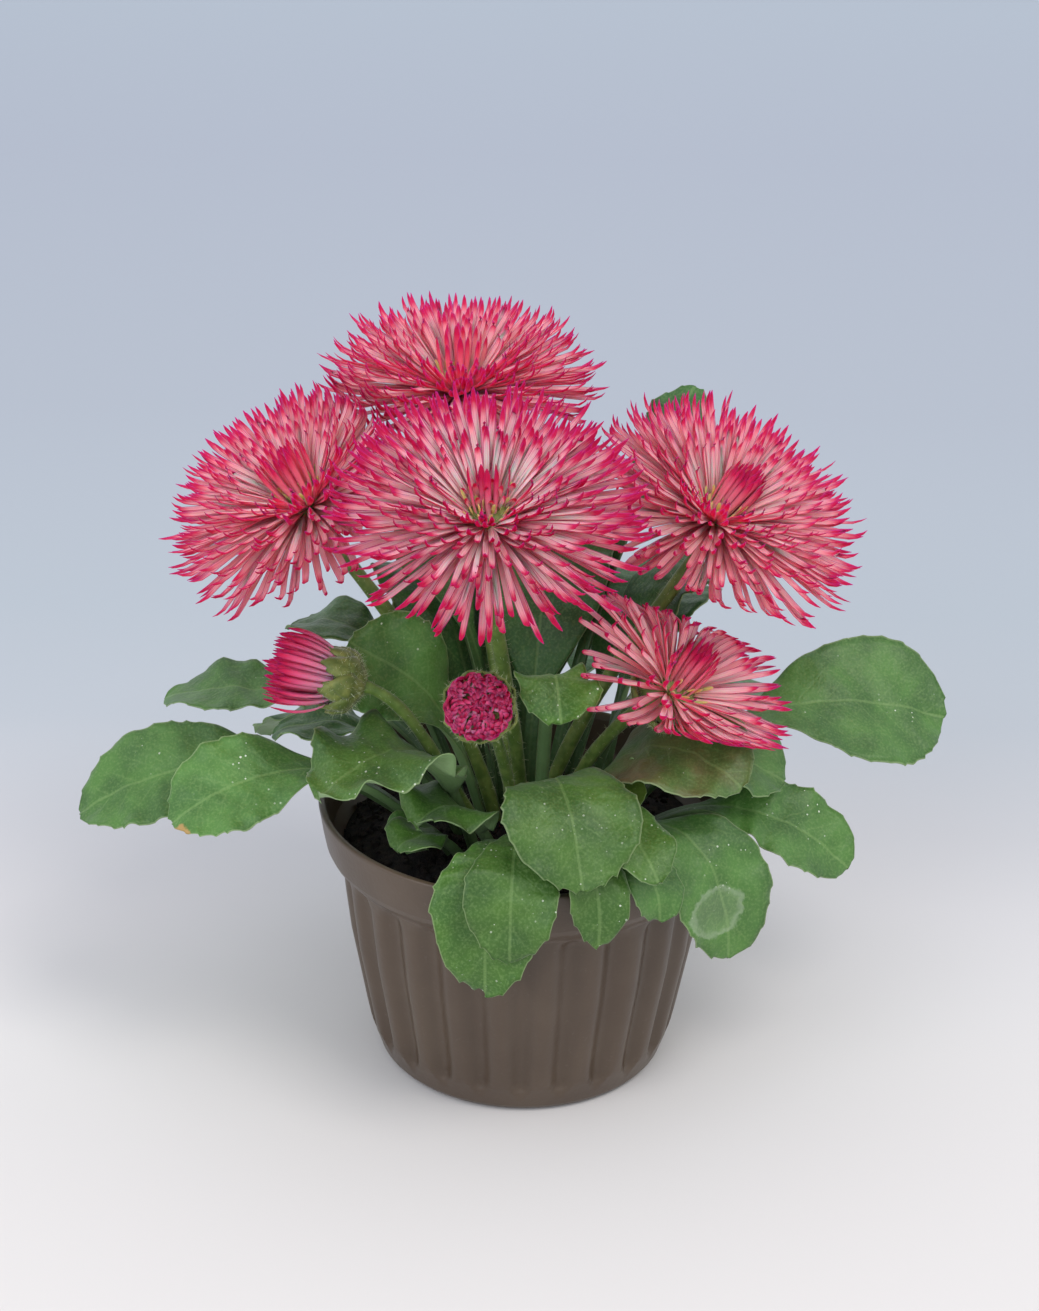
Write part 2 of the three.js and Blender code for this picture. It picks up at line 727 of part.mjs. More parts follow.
// The coloured head: florets set by the golden angle, long and low at the rim, short and steep in the middle.
function bloomSolid(head) {
  const frame = headFrame(head);
  const fences = fencesOf(head);
  const parts = [coreSolid(frame, head)];
  for (let i = 0; i < head.florets; i += 1) {
    const inward = (i + 0.5) / head.florets;
    const angle = i * GOLDEN_ANGLE;
    const lean = mix(head.low, head.high, Math.pow(inward, STEEPENING)) * DEGREE;
    const wobble = 1 + LENGTH_SCATTER * (2 * scatter(i, 1) - 1);
    const length = mix(head.outer, head.inner, Math.pow(inward, SHORTENING)) * wobble;
    const polar = mix(RIM_POLAR, TOP_POLAR, Math.sqrt(inward)) * DEGREE;
    const radius = Math.sin(polar) * (head.core - FLORET_SINK);
    const height = head.coreHeight + Math.cos(polar) * (head.coreHeight - FLORET_SINK);
    const at = (share) =>
      frame.place(radius + share * length * Math.cos(lean), angle, height + share * length * Math.sin(lean));
    const shoulder = clearOf(fences, at(FLORET_SHOULDER));
    const end = clearOf(fences, at(1));
    parts.push(floretSolid(at(0), shoulder, end, frame.up, inward < head.shouldered));
  }
  return kernel.Manifold.union(parts);
}

function stalkCurve(head) {
  const { up } = headFrame(head);
  const foot = onBearing(...head.root, SOIL_TOP - SOIL_SINK);
  const end = new THREE.Vector3(...head.at).addScaledVector(up, -GAP - head.cupHeight);
  const reach = end.distanceTo(foot);
  const near = foot.clone().lerp(end.clone().setZ(foot.z), head.lean).addScaledVector(UP, reach * STALK_NEAR);
  const far = end.clone().addScaledVector(up, -reach * STALK_FAR);
  return new THREE.CubicBezierCurve3(foot, near, far, end);
}

// The green part of a head: its stalk, and the cup of bracts under the core.
function stalkSolid(head) {
  const frame = headFrame(head);
  const curve = stalkCurve(head);
  const level = lateralOf(curve);
  const rings = [];
  for (let i = 0; i <= STALK_STATIONS; i += 1) {
    const share = i / STALK_STATIONS;
    const centre = curve.getPoint(share);
    const along = curve.getTangent(share);
    const side = new THREE.Vector3().crossVectors(level, along).normalize();
    const across = new THREE.Vector3().crossVectors(along, side).normalize();
    rings.push(
      Array.from({ length: STALK_SIDES }, (_, k) => {
        const angle = (k / STALK_SIDES) * 2 * Math.PI;
        return centre
          .clone()
          .addScaledVector(side, head.stalk * Math.cos(angle))
          .addScaledVector(across, head.stalk * Math.sin(angle));
      }),
    );
  }
  const tube = stackRings(rings, curve.getPoint(0), curve.getPoint(1));
  return tube.add(cupSolid(frame, head));
}

// The cup of bracts: a flat one under an open head, and a hollow one that wraps the foot of a bud.
function cupSolid({ place }, { cup, cupHeight, cupRise, stalk }) {
  const count = BRACT_COUNT * 2;
  const ring = (radius, height, notch) =>
    Array.from({ length: count }, (_, i) => {
      const dip = i % 2 === 0 ? 0 : notch;
      return place(radius, (i / count) * 2 * Math.PI, -GAP - dip + height);
    });
  const rings = [
    ring(stalk - GAP, -cupHeight - CUP_FOOT, 0),
    ring(cup * CUP_SHOULDER_WIDTH, -cupHeight * CUP_SHOULDER_HEIGHT, 0),
    ring(cup, cupRise, BRACT_NOTCH),
    ring(cup - CUP_WALL, cupRise, BRACT_NOTCH),
  ];
  if (cupRise > 0) {
    rings.splice(2, 0, ring(cup, 0, 0));
    rings.push(ring(cup - CUP_WALL, 0, 0));
  }
  return stackRings(rings, place(0, 0, -GAP - cupHeight - CUP_FOOT), place(0, 0, -GAP - CUP_FLOOR));
}

const leaves = LEAVES.map((leaf) => ({ ...LEAF_HABIT, ...leaf }));
const stems = [
  ...leaves.map((leaf) => ({
    curve: leafCurve(leaf),
    halfWidth: PETIOLE_HALF_WIDTH + HOLE_GAP,
    halfDepth: PETIOLE_THICKNESS / 2 + HOLE_GAP,
    drop: PETIOLE_THICKNESS / 2,
  })),
  ...HEADS.map((head) => ({
    curve: stalkCurve(head),
    halfWidth: head.stalk + HOLE_GAP,
    halfDepth: head.stalk + HOLE_GAP,
    drop: 0,
  })),
];

const plant = new THREE.Group();
plant.name = "potted_english_daisy";
plant.add(meshFrom("pot", potSolid(), POT_FINISH));
plant.add(meshFrom("soil", soilSolid(stems), SOIL_FINISH));
for (const leaf of leaves) {
  plant.add(meshFrom(leaf.name, leafSolid(leaf), leaf.finish));
}
for (const head of HEADS) {
  plant.add(meshFrom(head.name, bloomSolid(head), head.finish));
  plant.add(meshFrom(`${head.name}_stalk`, stalkSolid(head), STALK_FINISH));
}

export default plant;
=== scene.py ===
"""A potted english daisy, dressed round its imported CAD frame.

The classes hold their sizes in millimetres, in the frame of the CAD source: the origin is the centre of the
pot's flat underside, +Z is up and -Y is the front. Meshes are written in metres.
"""

import logging
import math
from dataclasses import dataclass, replace
from enum import Enum
from functools import partial
from typing import Any, Sequence

import bpy
import numpy as np
from mathutils import Matrix, Vector

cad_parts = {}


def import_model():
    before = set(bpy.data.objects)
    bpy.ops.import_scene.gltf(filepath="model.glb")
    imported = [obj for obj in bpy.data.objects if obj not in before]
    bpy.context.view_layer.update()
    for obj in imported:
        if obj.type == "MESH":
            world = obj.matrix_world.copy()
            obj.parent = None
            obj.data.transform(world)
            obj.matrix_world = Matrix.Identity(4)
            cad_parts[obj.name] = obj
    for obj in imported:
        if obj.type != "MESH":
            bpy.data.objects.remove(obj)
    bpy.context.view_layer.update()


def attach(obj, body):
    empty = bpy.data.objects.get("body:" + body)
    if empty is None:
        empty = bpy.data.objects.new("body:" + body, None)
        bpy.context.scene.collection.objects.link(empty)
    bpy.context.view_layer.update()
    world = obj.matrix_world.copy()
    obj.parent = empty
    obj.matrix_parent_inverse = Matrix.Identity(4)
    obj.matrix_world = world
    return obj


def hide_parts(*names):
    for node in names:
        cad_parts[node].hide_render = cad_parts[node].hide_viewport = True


LOG = logging.getLogger("daisy")
MM = 0.001
DEGREE = math.pi / 180
TURN = 2 * math.pi
GOLDEN_ANGLE = math.pi * (3 - math.sqrt(5))
SOIL_TOP = 52.0
STEM_FOOT = SOIL_TOP - 3.6
GAP = 0.3
UP = np.array([0.0, 0.0, 1.0])

# Short names for the nodes that are used most, with the settings that go with each.
KINDS: dict[str, tuple[str, dict[str, Any]]] = {
    "fade": ("ShaderNodeMapRange", {"interpolation_type": "SMOOTHSTEP"}),
    "remap": ("ShaderNodeMapRange", {}),
    "blend": ("ShaderNodeMix", {"data_type": "RGBA"}),
    "choose": ("ShaderNodeMix", {"data_type": "FLOAT"}),
    "ramp": ("ShaderNodeValToRGB", {}),
    "noise": ("ShaderNodeTexNoise", {}),
    "split": ("ShaderNodeSeparateXYZ", {}),
    "gather": ("ShaderNodeCombineXYZ", {}),
    "vector": ("ShaderNodeVectorMath", {}),
    "mark": ("GeometryNodeInputNamedAttribute", {}),
    "give": ("FunctionNodeRandomValue", {}),
}
# Maths nodes, each by its operation.
SUMS = "ADD SUBTRACT MULTIPLY DIVIDE POWER ABSOLUTE FRACT MAXIMUM SINE COSINE ARCTAN2 LESS_THAN"
KINDS.update((name.lower(), ("ShaderNodeMath", {"operation": name})) for name in SUMS.split())


class Slot(Enum):
    """The record's material slots."""

    POT = "pot_plastic"
    SOIL = "soil"
    LEAF_FRONT = "leaf_front"
    LEAF_SIDE = "leaf_side"
    LEAF_BACK = "leaf_back"
    STALK = "stalk"
    BLOOM = "bloom_florets"
    BUD = "bud_florets"


def linear(code: str) -> tuple[float, float, float, float]:
    """Turns an sRGB hex colour into linear light.

    Args:
        code: six hex digits.

    Returns:
        Red, green, blue and an alpha of one.
    """
    shares = [int(code[i : i + 2], 16) / 255 for i in (0, 2, 4)]
    light = [s / 12.92 if s <= 0.04045 else ((s + 0.055) / 1.055) ** 2.4 for s in shares]
    return (light[0], light[1], light[2], 1.0)


def put(
    tree: bpy.types.NodeTree,
    kind: str,
    *feeds: Any,
    named: dict[str, Any] | None = None,
    stops: Sequence[tuple[float, str]] = (),
    **settings: Any,
) -> bpy.types.Node:
    """Adds a node to a tree, with its settings and links.

    Args:
        tree: the tree that gets the node.
        kind: the node's type name, or its short name in KINDS.
        feeds: what goes into each input in use, in their order: a value, a socket, a node or None.
        named: the same, by the input's name.
        stops: place and sRGB hex colour of each stop of a colour ramp.
        settings: properties of the node.

    Returns:
        The new node.
    """
    type_name, usual = KINDS.get(kind, (kind, {}))
    made = tree.nodes.new(type_name)
    for name, value in {**usual, **settings}.items():
        setattr(made, name, value)
    for i, (place, code) in enumerate(stops):
        elements = made.color_ramp.elements
        stop = elements[i] if i < len(elements) else elements.new(place)
        stop.position = place
        stop.color = linear(code)
    in_use = [socket for socket in made.inputs if socket.enabled]
    pairs = [*zip(in_use, feeds), *((made.inputs[name], feed) for name, feed in (named or {}).items())]
    for socket, feed in pairs:
        if isinstance(feed, bpy.types.Node):
            feed = next(output for output in feed.outputs if output.enabled)
        if isinstance(feed, bpy.types.NodeSocket):
            tree.links.new(feed, socket)
        elif feed is not None:
            socket.default_value = feed
    return made


def scatter(index: int, salt: int) -> float:
    """Returns the CAD source's repeatable scatter between 0 and 1."""
    wave = math.sin(index * 12.9898 + salt * 78.233) * 43758.5453
    return wave - math.floor(wave)


def lerp(first: Any, last: Any, share: Any) -> Any:
    """Returns the value at a share of the way from first to last."""
    return first + (last - first) * share


def smooth(value: Any, start: float, end: float) -> Any:
    """Returns a smooth step: 0 where value is start and 1 where it is end."""
    share = np.clip((np.asarray(value, float) - start) / (end - start), 0, 1)
    return share * share * (3 - 2 * share)


def unit(vectors: np.ndarray) -> np.ndarray:
    """Returns the vectors with a length of one."""
    return vectors / np.linalg.norm(vectors, axis=-1, keepdims=True)


def on_bearing(distance: float, bearing: float, height: float) -> np.ndarray:
    """Returns the point at a distance and bearing, in degrees, from the pot's axis."""
    angle = bearing * DEGREE
    return np.array([distance * math.cos(angle), distance * math.sin(angle), height])


@dataclass(frozen=True)
class Bezier:
    """A cubic curve through space by its four handles."""

    handles: np.ndarray

    def at(self, share: np.ndarray) -> np.ndarray:
        """Finds points of the curve.

        Args:
            share: shares of the curve, from 0 to 1.

        Returns:
            The point at each share.
        """
        t = np.asarray(share, float)[..., None]
        a, b, c, d = self.handles
        return a * (1 - t) ** 3 + 3 * b * t * (1 - t) ** 2 + 3 * c * t**2 * (1 - t) + d * t**3

    def along(self, share: np.ndarray) -> np.ndarray:
        """Finds the way that the curve runs.

        Args:
            share: shares of the curve, from 0 to 1.

        Returns:
            The unit tangent at each share.
        """
        t = np.asarray(share, float)[..., None]
        a, b, c, d = self.handles
        return unit((b - a) * (1 - t) ** 2 + 2 * (c - b) * t * (1 - t) + (d - c) * t**2)

    def level(self) -> np.ndarray:
        """Returns the level direction on the left of the curve's overall lean."""
        lean = (self.handles[3] - self.handles[0]) * (1, 1, 0)
        return np.cross(UP, unit(lean))


def mesh_from(name: str, corners: np.ndarray, faces: Sequence[Sequence[int]]) -> bpy.types.Mesh:
    """Makes a mesh in metres.

    Args:
        name: the mesh's name.
        corners: the corners, in millimetres.
        faces: corner numbers of each face, anticlockwise from outside.

    Returns:
        The mesh, smooth shaded.
    """
    mesh = bpy.data.meshes.new(name)
    mesh.from_pydata((np.asarray(corners) * MM).tolist(), [], [list(map(int, face)) for face in faces])
    mesh.shade_smooth()
    return mesh


def skin(rows: int, wide: int, first: int = 0) -> list[tuple[int, ...]]:
    """Lists the faces of a closed sheet: its upper corners come first, row by row, and then the lower ones.

    Args:
        rows: number of rows.
        wide: number of corners in a row.
        first: number of the first corner.

    Returns:
        The corner numbers of each face.
    """
    under = rows * wide
    made = []
    for start in range(first, first + (rows - 1) * wide, wide):
        for a in range(start, start + wide - 1):
            made.append((a, a + 1, a + wide + 1, a + wide))
            made.append((a + wide + under, a + wide + 1 + under, a + 1 + under, a + under))
        for a, turn in ((start, 1), (start + wide - 1, -1)):
            made.append((a, a + wide, a + wide + under, a + under)[::turn])
    for start, turn in ((first, -1), (first + (rows - 1) * wide, 1)):
        for a in range(start, start + wide - 1):
            made.append((a, a + 1, a + 1 + under, a + under)[::turn])
    return made


def note(mesh: bpy.types.Mesh, name: str, values: np.ndarray) -> None:
    """Stores a value, or a vector, for each corner of a mesh.

    Args:
        mesh: the mesh.
        name: the attribute's name.
        values: a number or a vector for each corner.
    """
    values = np.asarray(values, float)
    kind, key = ("FLOAT_VECTOR", "vector") if values.ndim == 2 else ("FLOAT", "value")
    mesh.attributes.new(name, kind, "POINT").data.foreach_set(key, values.ravel())


def strands(name: str, paths: Sequence[np.ndarray], **notes: Sequence[np.ndarray]) -> bpy.types.Mesh:
    """Makes a mesh of open lines, one for each path.

    Args:
        name: the mesh's name.
        paths: the points of each line, in millimetres.
        notes: values to store for each line's points.

    Returns:
        The mesh, which has edges and no faces.
    """
    mesh = bpy.data.meshes.new(name)
    edges = []
    start = 0
    for path in paths:
        edges += [(i, i + 1) for i in range(start, start + len(path) - 1)]
        start += len(path)
    mesh.from_pydata((np.concatenate(paths) * MM).tolist(), edges, [])
    for key, values in notes.items():
        note(mesh, key, np.concatenate(values))
    return mesh


def show(name: str, mesh: bpy.types.Mesh) -> bpy.types.Object:
    """Puts a mesh into the scene.

    Args:
        name: the object's name.
        mesh: the mesh.

    Returns:
        The object.
    """
    piece = bpy.data.objects.new(name, mesh)
    bpy.context.scene.collection.objects.link(piece)
    return piece


def new_tree(
    name: str, sizes: dict[str, str]
) -> tuple[bpy.types.NodeTree, dict[str, bpy.types.NodeSocket]]:
    """Starts a Geometry Nodes tree.

    Args:
        name: the tree's name.
        sizes: name and kind of each input besides the geometry, such as Float or Int.

    Returns:
        The tree and its inputs by name.
    """
    tree = bpy.data.node_groups.new(name, "GeometryNodeTree")
    for key, kind in {"Geometry": "Geometry", **sizes}.items():
        tree.interface.new_socket(key, in_out="INPUT", socket_type="NodeSocket" + kind)
    tree.interface.new_socket("Geometry", in_out="OUTPUT", socket_type="NodeSocketGeometry")
    return tree, {socket.name: socket for socket in tree.nodes.new("NodeGroupInput").outputs}


def grow(name: str, seed: bpy.types.Mesh, tree: bpy.types.NodeTree, **sizes: Any) -> bpy.types.Object:
    """Runs a Geometry Nodes tree on a mesh and keeps the result as a plain mesh.

    Args:
        name: the piece's name.
        seed: the mesh that the tree starts from.
        tree: the tree.
        sizes: the value of each named input, with _ for a space.

    Returns:
        The piece, with no modifier left on it.
    """
    piece = show(name, seed)
    modifier = piece.modifiers.new(tree.name, "NODES")
    modifier.node_group = tree
    inputs = {item.name: item.identifier for item in tree.interface.items_tree if item.in_out == "INPUT"}
    for key, value in sizes.items():
        modifier[inputs[key.replace("_", " ")]] = value
    depsgraph = bpy.context.evaluated_depsgraph_get()
    grown = bpy.data.meshes.new_from_object(piece.evaluated_get(depsgraph), depsgraph=depsgraph)
    piece.modifiers.clear()
    piece.data = grown
    drop_empty_slots(grown)
    return piece


def drop_empty_slots(mesh: bpy.types.Mesh) -> None:
    """Takes the material slots that hold nothing off a mesh, and renumbers its faces.

    Args:
        mesh: the mesh, which is changed.
    """
    finishes = list(mesh.materials)
    kept = [i for i, finish in enumerate(finishes) if finish]
    numbers = np.zeros(len(mesh.polygons), int)
    mesh.polygons.foreach_get("material_index", numbers)
    mesh.materials.clear()
    for i in kept:
        mesh.materials.append(finishes[i])
    renumbered = np.array([kept.index(i) if i in kept else 0 for i in range(len(finishes))])
    mesh.polygons.foreach_set("material_index", renumbered[numbers])


def settle(piece: bpy.types.Object, slot: Slot, node: str) -> None:
    """Settles a finished piece: it rides on the root, and replaces the CAD node that it stands for; its slot
    is only logged.

    Args:
        piece: the piece.
        slot: its material slot.
        node: the CAD node's name.
    """
    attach(piece, "root")
    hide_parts(node)
    LOG.info("%s: %d faces, slot %s", piece.name, len(piece.data.polygons), slot.value)


# Finishes


@dataclass(frozen=True)
class Finish:
    """What every finish has: a name for the real material, and the start of its shader."""

    name: str

    def start(self, **values: Any) -> tuple[bpy.types.NodeTree, bpy.types.Node]:
        """Starts the material.

        Args:
            values: settings of the shader's own sockets, by name with _ for a space.

        Returns:
            The material's tree and its surface shader.
        """
        material = bpy.data.materials.new(self.name)
        material.use_nodes = True
        tree = material.node_tree
        shader = tree.nodes["Principled BSDF"]
        for key, value in values.items():
            shader.inputs[key.replace("_", " ")].default_value = value
        return tree, shader

    def material(self) -> bpy.types.Material:
        """Builds the material on first use.

        Returns:
            The material.
        """
        if self.name not in bpy.data.materials:
            self.build()
        return bpy.data.materials[self.name]

    def build(self) -> None:
        """Builds the material; each finish has its own."""
        raise NotImplementedError

    def marks(self, tree: bpy.types.NodeTree, name: str) -> Sequence[bpy.types.NodeSocket]:
        """Returns the three values of one of the mesh's own vectors."""
        vector = put(tree, "ShaderNodeAttribute", attribute_name=name).outputs["Vector"]
        return put(tree, "split", vector).outputs

    def spread(self, tree: bpy.types.NodeTree, wide: float) -> bpy.types.Node:
        """Returns object coordinates in which one unit is a pattern's width, in millimetres."""
        place = put(tree, "ShaderNodeTexCoord").outputs["Object"]
        return put(tree, "vector", place, 1 / (wide * MM), operation="SCALE")

    def grain(self, tree: bpy.types.NodeTree, wide: float, detail: float = 3.0) -> bpy.types.Node:
        """Adds a soft noise whose blobs are so many millimetres wide."""
        return put(tree, "noise", self.spread(tree, wide), 1.0, detail)

    def relief(self, tree: bpy.types.NodeTree, shader: bpy.types.Node, height: Any, depth: float) -> None:
        """Gives the shader a bump, or adds one to the bump that is there.

        Args:
            tree: the material's tree.
            shader: its surface shader.
            height: what gives the height, from 0 to 1.
            depth: the bump's depth, in millimetres.
        """
        bump = put(tree, "ShaderNodeBump", named={"Height": height, "Distance": depth * MM})
        if shader.inputs["Normal"].is_linked:
            tree.links.new(shader.inputs["Normal"].links[0].from_socket, bump.inputs["Normal"])
        tree.links.new(bump.outputs[0], shader.inputs["Normal"])


@dataclass(frozen=True)
class MouldedPolypropylene(Finish):
    """Injection-moulded polypropylene: a satin skin with a faint orange peel that blurs its highlights."""

    base: str = "4f4135"
    worn: str = "56483b"
    dust: str = "8a8178"

    def build(self) -> None:
        """Builds the pot's plastic."""
        tree, shader = self.start(IOR=1.49)
        add = partial(put, tree)
        cloud = add("fade", self.grain(tree, 18.0), 0.35, 0.75)
        colour = add("blend", cloud, linear(self.base), linear(self.worn))
        dusty = add("multiply", add("fade", self.grain(tree, 0.9), 0.62, 0.8), 0.12)
        colour = add("blend", dusty, colour, linear(self.dust))
        rough = add("remap", self.grain(tree, 6.0), 0.0, 1.0, 0.3, 0.42)
        tree.links.new(colour.outputs[2], shader.inputs["Base Color"])
        tree.links.new(rough.outputs[0], shader.inputs["Roughness"])
        self.relief(tree, shader, self.grain(tree, 1.1), 0.05)


@dataclass(frozen=True)
class PeatCompost(Finish):
    """Moist peat compost: near-black crumbs with brown fibres, which swallow most of the light."""

    dark: str = "141215"
    light: str = "2e2622"
    fibre: str = "4a3b30"

    def build(self) -> None:
        """Builds the soil's compost."""
        tree, shader = self.start(Roughness=0.9, Specular_IOR_Level=0.3)
        add = partial(put, tree)
        crumbs = self.grain(tree, 1.6, 6.0)
        colour = add("blend", add("fade", crumbs, 0.35, 0.7), linear(self.dark), linear(self.light))
        fibrous = add("multiply", add("fade", self.grain(tree, 0.5), 0.66, 0.74), 0.5)
        colour = add("blend", fibrous, colour, linear(self.fibre))
        tree.links.new(colour.outputs[2], shader.inputs["Base Color"])
        self.relief(tree, shader, crumbs, 0.7)
        self.relief(tree, shader, self.grain(tree, 0.4), 0.2)


@dataclass(frozen=True)
class DownyLeaf(Finish):
    """A thin, downy daisy leaf: satin green, with a pale midrib, faint side veins and a pale rim.

    Lime specks are strewn over the upper side where specks is high, and flush turns parts red-brown.
    """

    deep: str
    fresh: str
    rib: str = "8aa866"
    rim: str = "b0c290"
    under: str = "7b9a66"
    # Painted shade: the petiole colour stands for the shade that the leaf's foot stands in.
    petiole: str = "34502a"
    flushed: str = "6d5138"
    yellowed: str = "8d9a3f"
    lime: str = "dde4d2"
    specks: float = 0.3
    flush: float = 0.0
    vein_pitch: float = 6.0
    # Stains: distance along and across, inner and outer radius in millimetres, sRGB colour and strength.
    spots: tuple[tuple[float, float, float, float, str, float], ...] = ()

    def build(self) -> None:
        """Builds the leaf's skin from the blade's own measures and the leaf's own tone."""
        tree, shader = self.start(
            Roughness=0.46, Specular_IOR_Level=0.4, Sheen_Weight=0.06, Sheen_Roughness=0.5
        )
        add = partial(put, tree)
        along, across, edge = self.marks(tree, "blade")
        tone, warmth, upper = self.marks(tree, "look")
        side = add("absolute", across)
        mottle = add("fade", self.grain(tree, 9.0, 2.0), 0.3, 0.7)
        colour = add("blend", mottle, linear(self.deep), linear(self.fresh))
        fine = add("fade", self.grain(tree, 0.55), 0.42, 0.72)
        colour = add("blend", add("multiply", fine, 0.2), colour, linear(self.rib))
        # Side veins leave the midrib one pitch apart and run forwards.
        wobble = add("multiply", self.grain(tree, 9.0), 3.0)
        run = add("add", add("subtract", along, add("multiply", side, 0.95)), wobble)
        wave = add("absolute", add("subtract", add("fract", add("divide", run, self.vein_pitch)), 0.5))
        vein = add("multiply", add("fade", wave, 0.08, 0.0), add("fade", edge, 0.85, 0.35))
        midrib = add("multiply", add("fade", side, 0.5, 0.12), add("fade", edge, 1.2, 0.0))
        lines = add("maximum", add("multiply", vein, 0.1), add("multiply", midrib, 0.24))
        colour = add("blend", lines, colour, linear(self.rib))
        if self.flush:
            red = add("multiply", add("fade", self.grain(tree, 16.0), 0.38, 0.62), self.flush)
            colour = add("blend", red, colour, linear(self.flushed))
        colour = add("blend", add("multiply", warmth, 0.7), colour, linear(self.yellowed))
        rim = add("multiply", add("fade", edge, 0.965, 1.0), 0.4)
        colour = add("blend", rim, colour, linear(self.rim))
        # A stain is an oval with a ragged edge, and a ring where it is hollow.
        for at, aside, hollow, wide, code, strength in self.spots:
            sideways = add("divide", add("subtract", across, aside), 1.6)
            off = add("vector", add("gather", add("subtract", along, at), sideways), operation="LENGTH")
            away = add("subtract", add("add", off, add("multiply", self.grain(tree, 1.8), 2.2)), 1.0)
            inside = add("fade", away, wide, wide - 0.5)
            stain = add("multiply", inside, add("fade", away, hollow - 1, hollow))
            colour = add("blend", add("multiply", stain, strength), colour, linear(code))
        colour = add("blend", upper, linear(self.under), colour)
        # Painted shade: the petiole and the blade's foot are blended towards dark green for the shade that
        # falls there.
        petiole = add("multiply", add("fade", along, 5.0, -8.0), 0.7)
        colour = add("blend", petiole, colour, linear(self.petiole))
        # Lime specks are up to 0.3 mm wide, each in a cell of its own.
        cells = add("ShaderNodeTexVoronoi", self.spread(tree, 1.3))
        cells.inputs["Scale"].default_value = 1.0
        pick = add("ShaderNodeSeparateColor", cells.outputs["Color"])
        dot = add("less_than", cells.outputs["Distance"], add("multiply", pick, 0.19))
        patch = add("fade", self.grain(tree, 11.0), 0.66 - self.specks * 0.3, 0.74)
        dot = add("multiply", add("multiply", dot, patch), upper)
        colour = add("blend", add("multiply", dot, 0.85), colour, linear(self.lime))
        toned = add("ShaderNodeHueSaturation", named={"Value": tone, "Color": colour})
        tree.links.new(toned.outputs[0], shader.inputs["Base Color"])
        self.relief(tree, shader, add("subtract", 1.0, lines), 0.2)
        self.relief(tree, shader, self.grain(tree, 1.0, 4.0), 0.16)
        self.relief(tree, shader, self.grain(tree, 3.6, 2.0), 0.3)


@dataclass(frozen=True)
class HairyStem(Finish):
    """A juicy stalk or bract under fine down: yellow-green, with soft lengthwise streaks."""

    base: str = "55732f"
    light: str = "768f45"

    def build(self) -> None:
        """Builds the stalks' skin."""
        tree, shader = self.start(
            Roughness=0.5, Specular_IOR_Level=0.4, Sheen_Weight=0.25, Sheen_Roughness=0.4
        )
        streak = put(tree, "fade", self.grain(tree, 2.2, 4.0), 0.3, 0.7)
        colour = put(tree, "blend", streak, linear(self.base), linear(self.light))
        tree.links.new(colour.outputs[2], shader.inputs["Base Color"])
        self.relief(tree, shader, self.grain(tree, 0.7), 0.15)


@dataclass(frozen=True)
class Down(Finish):
    """Silky plant hairs: nearly white, and so thin that they only show as a pale haze."""

    colour: str = "dfe6c8"
    shade: str = "b9c78f"

    def build(self) -> None:
        """Builds the hairs' finish."""
        tree, shader = self.start(Roughness=0.4)
        tint = put(tree, "blend", self.grain(tree, 3.0), linear(self.colour), linear(self.shade))
        tree.links.new(tint.outputs[2], shader.inputs["Base Color"])


@dataclass(frozen=True)
class Ligule(Finish):
    """A quilled daisy floret: a thin satin petal, pale inside with a greenish foot.

    It is deep red at its edges, outside and at its tip. Light scatters through it, so that it glows a
    little in its own shade.
    """

    inner: tuple[tuple[float, str], ...]
    outer: tuple[tuple[float, str], ...]
    vein: str = "c41e50"
    disc: str = "cfd07e"

    def build(self) -> None:
        """Builds the floret's skin from its own marks: along, tint and young, and the section's tone."""
        tree, shader = self.start(
            Roughness=0.6, Specular_IOR_Level=0.08, Subsurface_Weight=0.8, Subsurface_Scale=1.5 * MM,
            Subsurface_Radius=(1.0, 0.2, 0.35),
        )
        add = partial(put, tree)
        along, tint, young = self.marks(tree, "marks")
        tone = add("ShaderNodeAttribute", attribute_name="tone").outputs["Fac"]
        stretch = ((along, 2.0), (tone, 4.0), (tint, 90.0))
        place = add("gather", *(add("multiply", value, times) for value, times in stretch))
        streak = add("noise", place, 1.0, 2.0)
        shift = add("multiply", add("subtract", streak, 0.5), 0.5)
        reach = add("add", along, add("multiply", shift, 0.3))
        inside = add("ramp", reach, stops=self.inner)
        outside = add("ramp", reach, stops=self.outer)
        face = add("fade", add("add", tone, shift), 0.3, 0.85)
        colour = add("blend", face, outside, inside)
        # Fine darker veins run along the pale face.
        wave = add("fract", add("add", add("multiply", tone, 2.6), shift))
        wave = add("absolute", add("subtract", wave, 0.5))
        vein = add("multiply", add("fade", wave, 0.16, 0.04), add("fade", along, 0.05, 0.3))
        margin = add("fade", add("absolute", add("subtract", tone, 0.42)), 0.4, 0.14)
        margin = add("multiply", add("multiply", margin, 0.42), add("fade", along, 0.05, 0.35))
        lines = add("maximum", add("multiply", vein, 0.3), margin)
        colour = add("blend", lines, colour, linear(self.vein))
        colour = add("blend", young, colour, linear(self.disc))
        bright = add("add", 0.98, add("multiply", tint, 0.24))
        tinted = add("ShaderNodeHueSaturation", named={"Value": bright, "Color": colour})
        tree.links.new(tinted.outputs[0], shader.inputs["Base Color"])
        self.relief(tree, shader, streak, 0.1)


@dataclass(frozen=True)
class StudioPaper(Finish):
    """Matt background paper: nearly white in front of the pot and dull blue further back; the pale front is a
    painted pool of light.
    """

    stops: tuple[tuple[float, str], ...]
    start_at: float
    end_at: float

    def build(self) -> None:
        """Builds the paper, whose colour turns with the distance towards the back, in metres; its pale front
        is painted light.
        """
        tree, shader = self.start(Roughness=0.95, Specular_IOR_Level=0.1)
        place = put(tree, "ShaderNodeTexCoord").outputs["Object"]
        _, back, _ = put(tree, "split", place).outputs
        share = put(tree, "remap", back, self.start_at, self.end_at)
        colour = put(tree, "ramp", share, stops=self.stops)
        tree.links.new(colour.outputs[0], shader.inputs["Base Color"])


